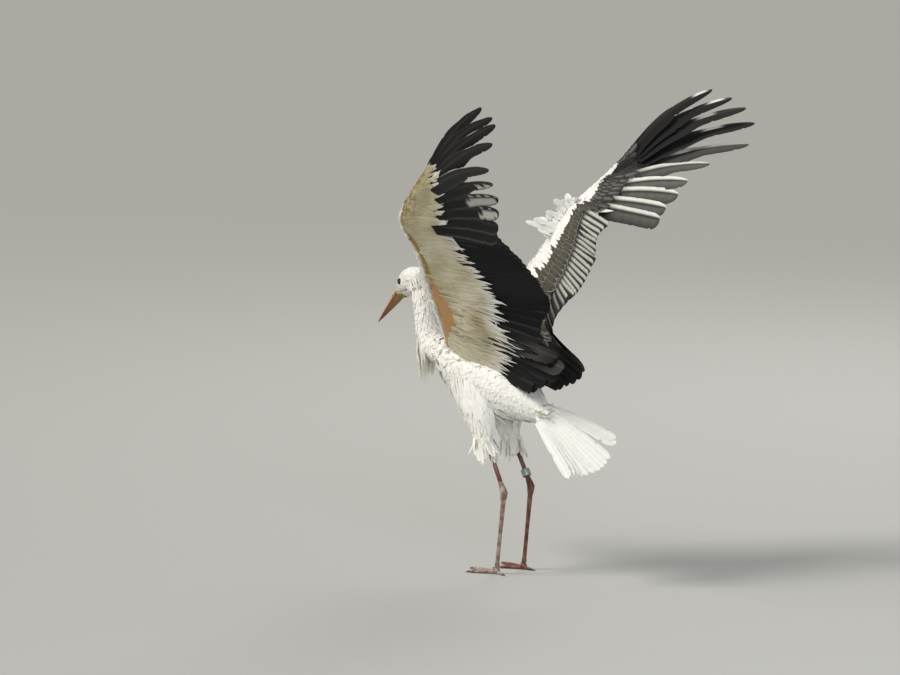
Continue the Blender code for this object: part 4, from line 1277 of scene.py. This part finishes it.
def off_the_face(points):
    """Feathered part of the head: not the bare face, the eye or what the neck's feathers cover."""
    forward, _, up = head_places(points)
    clear_of_eye = np.hypot(forward - EYE_FORWARD - 3, up - EYE_UP) > 9.5
    feathered = (face_markings(points)[1] < 0.5) & (forward < 61) & clear_of_eye
    return feathered & (distance_from(NECK_TREE, points) > 0.006)


def round_the_nape(points):
    """Rim of the head where its feathers pass over onto the neck."""
    forward, _, _ = head_places(points)
    return (distance_from(NECK_TREE, points) < 0.011) & (forward < 26)


def round_the_collar(points):
    """Base of the neck where its feathers pass over onto the trunk."""
    return distance_from(TRUNK_TREE, points) < 0.024


def head_sizes(points):
    """Short feathers on the face, long ones where the nape and cheeks pass into the neck."""
    forward, _, up = head_places(points)
    cheek = clamped((-up - 12) / 8) * clamped((34 - forward) / 20)
    return np.interp(forward, (-50, -30, -5, 30, 60), (1.6, 1.5, 1.1, 0.85, 0.6)) + cheek * 0.3


def uneven(points):
    """Lengths that vary in small groups, so that the feathers of a border end unevenly."""
    return np.clip(1.2 + 0.7 * noise_at(points, 0.007, 61), 0.6, 2.0)


def on_side(side):
    return lambda points: points[:, 0] * side > 0


def above_thigh_top(points):
    """Height above the line along which the thigh leaves the flank, in millimetres."""
    local = millimetres(points)
    return local[:, 2] - 455 + 0.0065 * (local[:, 1] + 110) ** 2


def over_the_thigh(side):
    return lambda points: (np.abs(above_thigh_top(points) - 8) < 24) & (points[:, 0] * side > 0.040)


def clear_of_belly(points):
    """Thigh below its top, without the strip of its inner side that touches the belly."""
    inner = (np.abs(points[:, 0]) < 0.046) & (distance_from(TRUNK_TREE, points) < 0.007)
    return (above_thigh_top(points) < -3) & ~inner


def behind_the_shoulder(points):
    return (points[:, 2] < 0.58) & (points[:, 1] < 0.05)


def ahead_of_tail(points):
    return points[:, 1] < 0.188


def all_along(*way):
    """The same lie over a whole tract."""
    return lambda points: np.tile(way, (len(points), 1))


# Tracts, in metres: how far apart the feathers stand, how long and half as wide they are, how deep they
# are rooted, how high their tips stand and how far some of them are ruffled up.
for side, label in SIDES:
    coat_patch(
        f"trunk_feathers_{label}", ["trunk"], over_the_breast, white_coat, on_side(side),
        spacing=0.0051, length=0.036, width=0.0062, depth=0.0048, ruffle=0.0004, seed=101,
    )
coat_patch(
    "neck_feathers", ["neck"], down_the_neck, white_coat,
    spacing=0.0044, length=0.032, width=0.0033, depth=0.0045, ruffle=0.0009, seed=102,
)
coat_patch(
    "nape_feathers", ["head"], down_the_neck, white_coat, round_the_nape, size_of=uneven,
    spacing=0.0030, length=0.019, width=0.0019, depth=0.0008, tip=0.0004, ruffle=0.0002, seed=113,
    hang=False, lay=draped,
)
coat_patch(
    "collar_feathers", ["neck"], down_the_neck, white_coat, round_the_collar, size_of=uneven,
    spacing=0.0046, length=0.040, width=0.0040, depth=0.0008, tip=0.0009, ruffle=0.0006, seed=114,
    hang=False, lay=draped,
)
coat_patch(
    "head_feathers", ["head"], back_over_head, face_colours, off_the_face, size_of=head_sizes,
    spacing=0.0020, length=0.0095, width=0.0018, depth=0.0010, tip=0.0001, ruffle=0.0001, seed=103,
    steps=5, hang=False,
)
for side, label in SIDES:
    coat_patch(
        f"thigh_feathers_{label}", [f"thigh_{label}"], all_along(0.0, 0.30, -1.0), white_coat, clear_of_belly,
        spacing=0.0051, length=0.044, width=0.0042, depth=0.0048, ruffle=0.0010, seed=104 + side,
    )
    coat_patch(
        f"flank_feathers_{label}", ["trunk", f"thigh_{label}"], all_along(0.0, 0.45, -0.9), white_coat,
        over_the_thigh(side),
        spacing=0.0052, length=0.050, width=0.0054, depth=0.0022, tip=0.0014, ruffle=0.0005, seed=120 + side,
        steps=7, hang=False, lay=draped,
    )
    coat_patch(
        f"shoulder_feathers_{label}", [f"upper_arm_{label}"], all_along(0.0, 1.0, -0.45), white_coat,
        behind_the_shoulder,
        spacing=0.0085, length=0.046, width=0.0068, depth=0.004, ruffle=0.0006, seed=108 + side,
    )
coat_patch(
    "rump_feathers", ["tail_coverts"], all_along(-0.2, 0.75, -0.6), white_coat, ahead_of_tail,
    spacing=0.0062, length=0.050, width=0.0060, depth=0.0030, ruffle=0.0001, seed=112, hang=False,
)

# Breast plumes: long pointed feathers that hang loose from the front of the lower neck, frayed and a
# little stained at their tips.
PLUME_COUNT = 190
PLUME_ANGLE = 100
PLUME_LENGTH = 96
PLUME_HALF_WIDTH = 3.1


def breast_plumes():
    """Each runs down the neck to a ring round its base and hangs on from there."""
    chance = np.random.default_rng(131)
    count, steps = PLUME_COUNT, 14
    angle = np.radians(np.linspace(-PLUME_ANGLE, PLUME_ANGLE, count) + chance.normal(0, 6, count))
    layer = chance.uniform(0, 3, count)
    root_height = 548 + 17 * layer + chance.normal(0, 4, count)
    neck_y = np.interp(root_height, (529, 562, 608), (-296, -324, -336))
    out = np.stack([np.sin(angle), -np.cos(angle), 0 * angle], 1)
    ring = np.stack([out[:, 0] * (34 - 3 * layer), -314 + out[:, 1] * (44 - 4 * layer),
                     526 - 10 * np.cos(angle) ** 2], 1)
    root = np.stack([out[:, 0] * (29 - layer), neck_y + out[:, 1] * (28 - layer), root_height], 1)
    hang = PLUME_LENGTH * chance.uniform(0.2, 1.0, count) * (0.5 + 0.5 * np.cos(angle / 1.4) ** 2)
    on_neck = np.linalg.norm(root - ring, axis=1)
    t = np.linspace(0, 1, steps)[None, :]
    walked = t * (on_neck + hang)[:, None]
    upper = clamped(walked / on_neck[:, None])[..., None]
    lower = np.maximum(walked - on_neck[:, None], 0)[..., None]
    drop = np.array((-0.11, -0.08, 0)) * out + np.array((0, 0.05, -1.0))
    centre = root[:, None] * (1 - upper) + ring[:, None] * upper + drop[:, None] * lower
    curve = chance.normal(0, 3.4, (count, 1)) * np.sin(t * chance.uniform(2, 5, (count, 1))) * t
    centre += np.cross(out, (0, 0, 1.0))[:, None] * curve[..., None]
    shape = np.interp(t, (0, 0.15, 0.5, 0.8, 1), (0.5, 1, 0.9, 0.5, 0.06))
    half = PLUME_HALF_WIDTH * chance.uniform(0.7, 1.25, (count, 1)) * shape
    half = half[..., None] * (1 + chance.normal(0, 0.12, (count, steps, 2)))
    stain = np.where(chance.random(count) < 0.2, 0.9, chance.uniform(0.1, 0.4, count))
    colour = mixed("white", "cream", stain[:, None] * t ** 2)
    centre += out[:, None] * (chance.uniform(-1.5, 2.5, (count, 1)) * t)[..., None]
    turned = out + np.cross(out, (0, 0, 1.0)) * chance.normal(0, 0.45, (count, 1))
    up = np.broadcast_to(turned[:, None], centre.shape)
    item = blades(
        "breast_plume_feathers", placed(centre, 1), up, half * 0.001, colour, shaft=0.0002, droop=0.10,
    )
    settle(item, WHITE_FEATHER, "plumage", "breast_plumes")


breast_plumes()

# Ruffled wrist: white coverts that the wind has turned up off the front of the right wing, in four rows
# that get shorter towards the front. A row: count, innermost and outermost feather number, share of the
# full length, half width, place across the arm.
RUFFLE_ROWS = (
    (9, 15.9, 9.5, 1.0, 8.0, 0.50),
    (12, 16.4, 9.3, 0.74, 8.0, 0.36),
    (14, 16.8, 9.2, 0.52, 7.5, 0.62),
    (18, 17.2, 9.0, 0.36, 7.0, 0.45),
)
RUFFLE_FACING = np.array((-1.24, 0.44, 0.87))
RUFFLE_INNER_REACH = Vector((68, 0, -15))
RUFFLE_OUTER_REACH = Vector((13, 16, 25))
RUFFLE_STEPS = 12


def wrist_ruffle(side, label):
    lines, ups, halves = [], [], []
    chance = np.random.default_rng(141)
    t = np.linspace(0, 1, RUFFLE_STEPS)
    for count, inner, outer, share, width, chord in RUFFLE_ROWS:
        for place in np.linspace(0, 1, count):
            number = inner + (outer - inner) * place + chance.normal(0, 0.1)
            base, _ = arm_surface(np.array(number), np.array(chord * 0.35), 1, -0.5)
            normal = wing_frame(number)[3]
            outward = (feather_root(number - 0.5) - feather_root(number + 0.5)).normalized()
            forward = normal.cross(outward)
            reach = RUFFLE_INNER_REACH.lerp(RUFFLE_OUTER_REACH, place) * share
            reach += Vector(chance.normal(0, 5, 3)) * (0.4 + share)
            lift = np.array(normal * reach.x + forward * reach.y + outward * reach.z)
            curl = np.array(forward * -1 - normal * 0.3) * chance.uniform(4, 14) * share
            lines.append(base + lift * t[:, None] + curl * (t ** 2 - 0.6 * t)[:, None])
            ups.append(np.tile(RUFFLE_FACING + chance.normal(0, 0.25, 3), (RUFFLE_STEPS, 1)))
            shape = np.interp(t, (0, 0.15, 0.5, 0.8, 0.93, 1), (0.25, 0.55, 0.95, 1.0, 0.72, 0.2))
            halves.append(width * shape[:, None] * (1 + chance.normal(0, 0.07, (RUFFLE_STEPS, 2))))
    centre = placed(np.array(lines), side)
    colour = PALETTE["white"] * chance.uniform(0.93, 1.02, (len(lines), 1, 1))
    item = blades(
        f"wrist_feathers_{label}", centre, np.array(ups) * (side, 1, 1), np.array(halves) * 0.001,
        np.broadcast_to(colour, centre.shape), columns=5, blade=0.00016, shaft=0.0003, flip=side < 0,
    )
    settle(item, WHITE_FEATHER, "plumage", f"wrist_coverts_{label}")


wrist_ruffle(-1, "right")

# Tail: twelve white feathers greyed by painted shade, the outer two of the right side apart from the fan, the
# middle pair on top.
# They are numbered from the right, and a row of the tips' table starts with such a number.
TAIL_BASE = Vector((4, 102, 420))
TAIL_NORMAL = Vector((0.74, 0.44, 0.505)).normalized()
TAIL_ACROSS = Vector((0.62, -0.34, -0.62)).normalized()
TAIL_SPREAD = 48
TAIL_FEATHERS = 12
TAIL_WIDTH = 24
# Painted shade: the tail's white is dimmed to a cool grey, as the tail lies in shade.
TAIL_SHADE = (0.84, 0.86, 0.86)
TAIL_TIPS = (
    (0, -75, 292, 364),
    (1, -73, 296, 352),
    (2, -55, 294, 318),
    (5, -32, 283, 290),
    (8, -2, 250, 272),
    (11, 36, 246, 272),
)


def tail_feathers():
    chance = np.random.default_rng(151)
    steps, columns = 30, 7
    t = np.linspace(0, 1, steps)
    centre = np.empty((TAIL_FEATHERS, steps, 3))
    half = np.empty((TAIL_FEATHERS, steps, 2))
    for number in range(TAIL_FEATHERS):
        start = TAIL_BASE + TAIL_ACROSS * (number / (TAIL_FEATHERS - 1) - 0.5) * TAIL_SPREAD
        tip = Vector(smooth_row(TAIL_TIPS, number))
        part = 0.12 + 0.88 * t
        middle = 1 - abs(number / (TAIL_FEATHERS - 1) * 2 - 1)
        bow = np.array(TAIL_NORMAL) * (4 * part * (1 - part) * 5)[:, None]
        centre[number] = np.array(start) + np.array(tip - start) * part[:, None] + bow
        centre[number] += np.array(TAIL_NORMAL) * (middle * 1.2)
        toward_left = 15 if number < TAIL_FEATHERS / 2 else 9
        end = np.sqrt(1 - (1 - clamped((1 - t) / 0.12)) ** 2)
        shape = np.interp(t, (0, 0.3, 0.8, 1), (0.45, 0.8, 1.0, 0.9)) * end
        half[number, :, 1] = toward_left * shape
        half[number, :, 0] = (TAIL_WIDTH - toward_left) * shape
        half[number] *= 1 + chance.normal(0, 0.02, (steps, 2))
        for _ in range(3):
            half[number, chance.integers(10, steps - 2), chance.integers(0, 2)] *= chance.uniform(0.6, 0.85)
    slant = np.where(np.arange(TAIL_FEATHERS) < TAIL_FEATHERS / 2, -0.04, 0.04)[:, None]
    colour = np.ones((TAIL_FEATHERS, steps, columns, 3)) * (PALETTE["white"] * TAIL_SHADE)
    colour[:, :, columns // 2] = mixed("white", "cream", np.array(0.2))
    item = blades(
        "tail_feathers", placed(centre, 1), np.broadcast_to(np.array(TAIL_NORMAL), centre.shape),
        half * 0.001, colour, columns=columns, blade=0.0002, shaft=0.0007, droop=0.03, slant=slant,
        patches=strip_patches(TAIL_FEATHERS, 0.004),
    )
    settle(item, WHITE_FEATHER, "plumage", "tail_fan", "tail_right")


tail_feathers()

# Bill: two sheaths of horn that meet along the gape, dull red and darker to the tip, with a painted highlight
# along the ridge and the upper flank, painted shade along the gape and over the lower sheath, and a slit
# nostril on each side of the upper one. It is built upright along its length in millimetres and then laid in
# the head's frame.
BILL_LENGTH = 130
BILL_GAP = 0.3
# A station: part of the length, half width, height of the upper half, depth of the lower one.
BILL_STATIONS = (
    (0.00, 11.5, 14.5, 19.0),
    (0.18, 10.2, 11.8, 16.8),
    (0.42, 8.0, 8.3, 12.4),
    (0.66, 5.6, 5.2, 7.8),
    (0.86, 3.2, 2.7, 3.8),
    (1.00, 1.0, 0.9, 0.9),
)
BILL_STEPS = 52
NOSTRIL_PLACE = Vector((9.6, 4.6, 20))
NOSTRIL_SIZE = (1.6, 0.9, 5.0)
# The palest colour is for the painted highlight on the ridge and flank, the brown for the painted shade of
# the lower sheath.
add_colours(bill_red="#BB8455", bill_brown="#8C5426", bill_dark="#452813", bill_pale="#EBCBA8")
# Horn: dry and satin, with streaks about 4 mm wide that stand up a little.
horn, _ = marked_material(
    "Bill_horn", roughness=0.42, grain=3.846, detail=5.0, low=0.7, high=1.25, relief=0.0004,
)


def bill_half(sign):
    """Upper (1) or lower (-1) half: an oval drawn out to the tip and cut along the gape."""
    rows = [straight_row(BILL_STATIONS, i / BILL_STEPS) for i in range(BILL_STEPS + 1)]
    sizes = [(row[0], row[1] if sign > 0 else row[2]) for row in rows]
    reach = BILL_LENGTH - (0 if sign > 0 else 1)
    bpy.ops.object.select_all(action="DESELECT")
    bpy.ops.mesh.primitive_circle_add(vertices=40, radius=1, fill_type="NGON", location=(0, 0, 0))
    sheath = bpy.context.object
    bpy.ops.object.mode_set(mode="EDIT")
    bpy.ops.mesh.select_all(action="SELECT")
    bpy.ops.transform.resize(value=(*sizes[0], 1))
    for i in range(1, BILL_STEPS + 1):
        bpy.ops.mesh.extrude_region_move(TRANSFORM_OT_translate={"value": (0, 0, reach / BILL_STEPS)})
        growth = (sizes[i][0] / sizes[i - 1][0], sizes[i][1] / sizes[i - 1][1], 1)
        bpy.ops.transform.resize(value=growth, center_override=(0, 0, reach * i / BILL_STEPS))
    bpy.ops.object.mode_set(mode="OBJECT")
    on_all_faces(
        bpy.ops.mesh.bisect, plane_co=(0, sign * BILL_GAP / 2, 0), plane_no=(0, sign, 0), use_fill=True,
        clear_inner=True,
    )
    on_all_faces(bpy.ops.mesh.normals_make_consistent, inside=False)
    return sheath


def cut_nostrils(sheath):
    for flank in (1, -1):
        place = (flank * NOSTRIL_PLACE.x, NOSTRIL_PLACE.y, NOSTRIL_PLACE.z)
        bpy.ops.mesh.primitive_uv_sphere_add(segments=20, ring_count=10, radius=1, location=place)
        nostril = bpy.context.object
        nostril.scale = NOSTRIL_SIZE
        bpy.ops.object.transform_apply(location=True, rotation=True, scale=True)
        bpy.context.view_layer.objects.active = sheath
        finish_with(sheath, "BOOLEAN", operation="DIFFERENCE", solver="EXACT", object=nostril)
        bpy.data.objects.remove(nostril, do_unlink=True)


def bill_colours(local, sign):
    """Streaked red to dark brown towards the tip, with a painted highlight along the ridge and the flank,
    painted shade along the gape and on the lower half, and painted olive shade with reflected grass green low
    near the chin.
    """
    along, height = local[:, 2] / BILL_LENGTH, np.abs(local[:, 1]) / 14
    streaks = noise_at(local * (1, 1, 0.12), 5, 161) + 0.6 * noise_at(local, 16, 162)
    tip, gape = clamped(along - 0.3), clamped(1 - height / 0.1)
    # Darker with the horn's streaks and towards the tip, and in a band of painted shade along the gape.
    dark = 0.18 + 0.28 * streaks + 0.35 * tip + 0.5 * gape
    if sign < 0:
        # Painted shade: the lower sheath darker brown, and the olive of shade with reflected grass green at
        # its lower edge near the base.
        tint = mixed("bill_brown", "bill_dark", clamped(dark + 0.35) * 0.9)
        return mixed(tint, "chin", np.clip(height / 0.5 - 0.9, 0, 0.6) * (1 - along))
    rise = local[:, 1] / (11.5 * (1 - along) + 1)
    # Painted highlight: pale along the ridge and in a band along the upper flank.
    ridge = clamped(rise * 2.6 - 1.0) * (0.85 - 0.2 * streaks)
    flank = np.exp(-((rise - 0.15) / 0.12) ** 2) * (0.35 + 0.3 * streaks)
    tint = mixed("bill_red", "bill_dark", clamped(dark) * 0.8)
    tint = mixed(tint, "bill_pale", ridge)
    tint = mixed(tint, "bill_pale", np.clip(flank, 0, 0.6))
    slit = np.hypot((local[:, 2] - NOSTRIL_PLACE.z) / 5.2, (local[:, 1] - NOSTRIL_PLACE.y) / 1.1) < 1.0
    return np.where(slit[:, None], PALETTE["bill_dark"] * 0.3, tint)


bill_start, bill_ahead, bill_left, bill_up = head_frame(BILL_PLACE)
bill_base = np.array(bill_start + bill_ahead * BILL_GAP + ORIGIN_SHIFT)
for half_name, sign in (("bill_upper", 1), ("bill_lower", -1)):
    sheath = bill_half(sign)
    if sign > 0:
        cut_nostrils(sheath)
    local = positions(sheath)
    paint(sheath, bill_colours(local, sign))
    laid = (bill_base + local @ np.array([bill_left, bill_up, bill_ahead])) * 0.001
    sheath.data.vertices.foreach_set("co", laid.ravel())
    sheath.data.update()
    sheath.name = f"{half_name}_horn"
    pick_only(sheath)
    on_all_faces(bpy.ops.mesh.normals_make_consistent, inside=False)
    bpy.ops.object.shade_smooth_by_angle(angle=math.radians(50))
    settle(sheath, horn, "bill", half_name)

# Eyes: dark brown balls with a black pupil, set in the black lids, each with a bulging front. Iris and
# pupil are drawn on the ball, round the way that it looks.
EYE_BULGE = 0.0007
PUPIL_ANGLE = 0.34
IRIS_ANGLE = 0.78
add_colours(iris="#2A1810", pupil="#050404")
# Wet cornea: as smooth as glass, with one small bright light in it.
wet_eye, cornea = marked_material("Wet_eye", roughness=0.06, grain=0.667, detail=3.0, low=0.7, high=1.3)
cornea["shader"].inputs["Coat Weight"].default_value = 0.5
for side, label in SIDES:
    middle, outward = eye_place(side)
    middle = (middle + ORIGIN_SHIFT) * 0.001
    bpy.ops.object.select_all(action="DESELECT")
    bpy.ops.mesh.primitive_uv_sphere_add(
        segments=40, ring_count=28, radius=EYE_RADIUS * 0.001, location=middle,
        rotation=outward.to_track_quat("Z", "Y").to_euler(),
    )
    eye = bpy.context.object
    bpy.ops.object.transform_apply(location=True, rotation=True, scale=True)
    eye.name = f"eyeball_{label}"
    points = positions(eye)
    turn = np.arccos(np.clip(unit(points - np.array(middle)) @ np.array(outward), -1, 1))
    in_iris = (turn >= PUPIL_ANGLE) & (turn <= IRIS_ANGLE)
    paint(eye, np.where(in_iris[:, None], PALETTE["iris"], PALETTE["pupil"]))
    bulge = clamped(1 - turn / 0.75) ** 0.6 * EYE_BULGE
    eye.data.vertices.foreach_set("co", (points + np.array(outward) * bulge[:, None]).ravel())
    bpy.ops.object.shade_smooth()
    settle(eye, wet_eye, "eyes", f"eye_{label}")

# Claws: short blunt nails of dark horn, one on each of the eight toes. They keep the solids' shape, worn
# round by two rounds of subdivision.


def two_tone(name, roughness, grain, detail, dark, light):
    """Material that drifts between two colours over a grain of so many millimetres."""
    material, shader = new_material(name, roughness)
    place = add_node(material, "ShaderNodeTexCoord")
    drift = add_node(
        material, "ShaderNodeTexNoise", {"Scale": 1000 / grain, "Detail": detail}, Vector=(place, "Object"),
    )
    tones = {"data_type": "RGBA", 6: (*linear(dark), 1), 7: (*linear(light), 1)}
    tint = add_node(material, "ShaderNodeMix", tones, Factor=(drift, "Fac"))
    material.node_tree.links.new(tint.outputs[2], shader.inputs["Base Color"])
    return material, shader


# Claw horn: dark and fairly glossy, paler where it is scuffed.
claw_horn, _ = two_tone(
    "Claw_horn", roughness=0.35, grain=1.43, detail=4.0, dark="#2A211D", light="#5A4A3C",
)
claw_nodes = [f"claw_{toe}_{label}" for toe in ("middle", "inner", "outer", "hind") for _, label in SIDES]
claws = copy_of(claw_nodes, "claws")
finish_with(claws, "SUBSURF", levels=2, render_levels=2)
bpy.ops.object.shade_smooth()
settle(claws, claw_horn, "claws", *claw_nodes)

# Leg ring: a plain band of sheet metal, bent to a tube with rounded rims round the right tibia. It is a
# piece of its own, so that it comes off the leg.
RING_TOP = Vector((-46, -61, 336)) + ORIGIN_SHIFT
RING_ANKLE = Vector((-50, 9, 214)) + ORIGIN_SHIFT
RING_PLACE = 0.25
RING_RADIUS = 0.0110
RING_HEIGHT = 0.018
RING_WALL = 0.0016
RING_RIM = 0.0004
# Anodised aluminium: dull grey green, brushed uneven by wear.
ring_metal, ring_shader = two_tone(
    "Anodised_aluminium", roughness=0.45, grain=2.38, detail=5.0, dark="#7F8C80", light="#B9C4B8",
)
ring_shader.inputs["Metallic"].default_value = 0.8
bpy.ops.object.select_all(action="DESELECT")
bpy.ops.mesh.primitive_cylinder_add(
    vertices=64, radius=RING_RADIUS, depth=RING_HEIGHT, end_fill_type="NOTHING",
    location=RING_ANKLE.lerp(RING_TOP, RING_PLACE) * 0.001,
    rotation=(RING_TOP - RING_ANKLE).to_track_quat("Z", "Y").to_euler(),
)
band = bpy.context.object
bpy.ops.object.transform_apply(location=True, rotation=True, scale=True)
band.name = "leg_band"
finish_with(band, "SOLIDIFY", thickness=RING_WALL, offset=-1)
finish_with(band, "BEVEL", width=RING_RIM, segments=3)
bpy.ops.object.shade_smooth_by_angle(angle=math.radians(40))
settle(band, ring_metal, "leg_ring", "leg_ring")
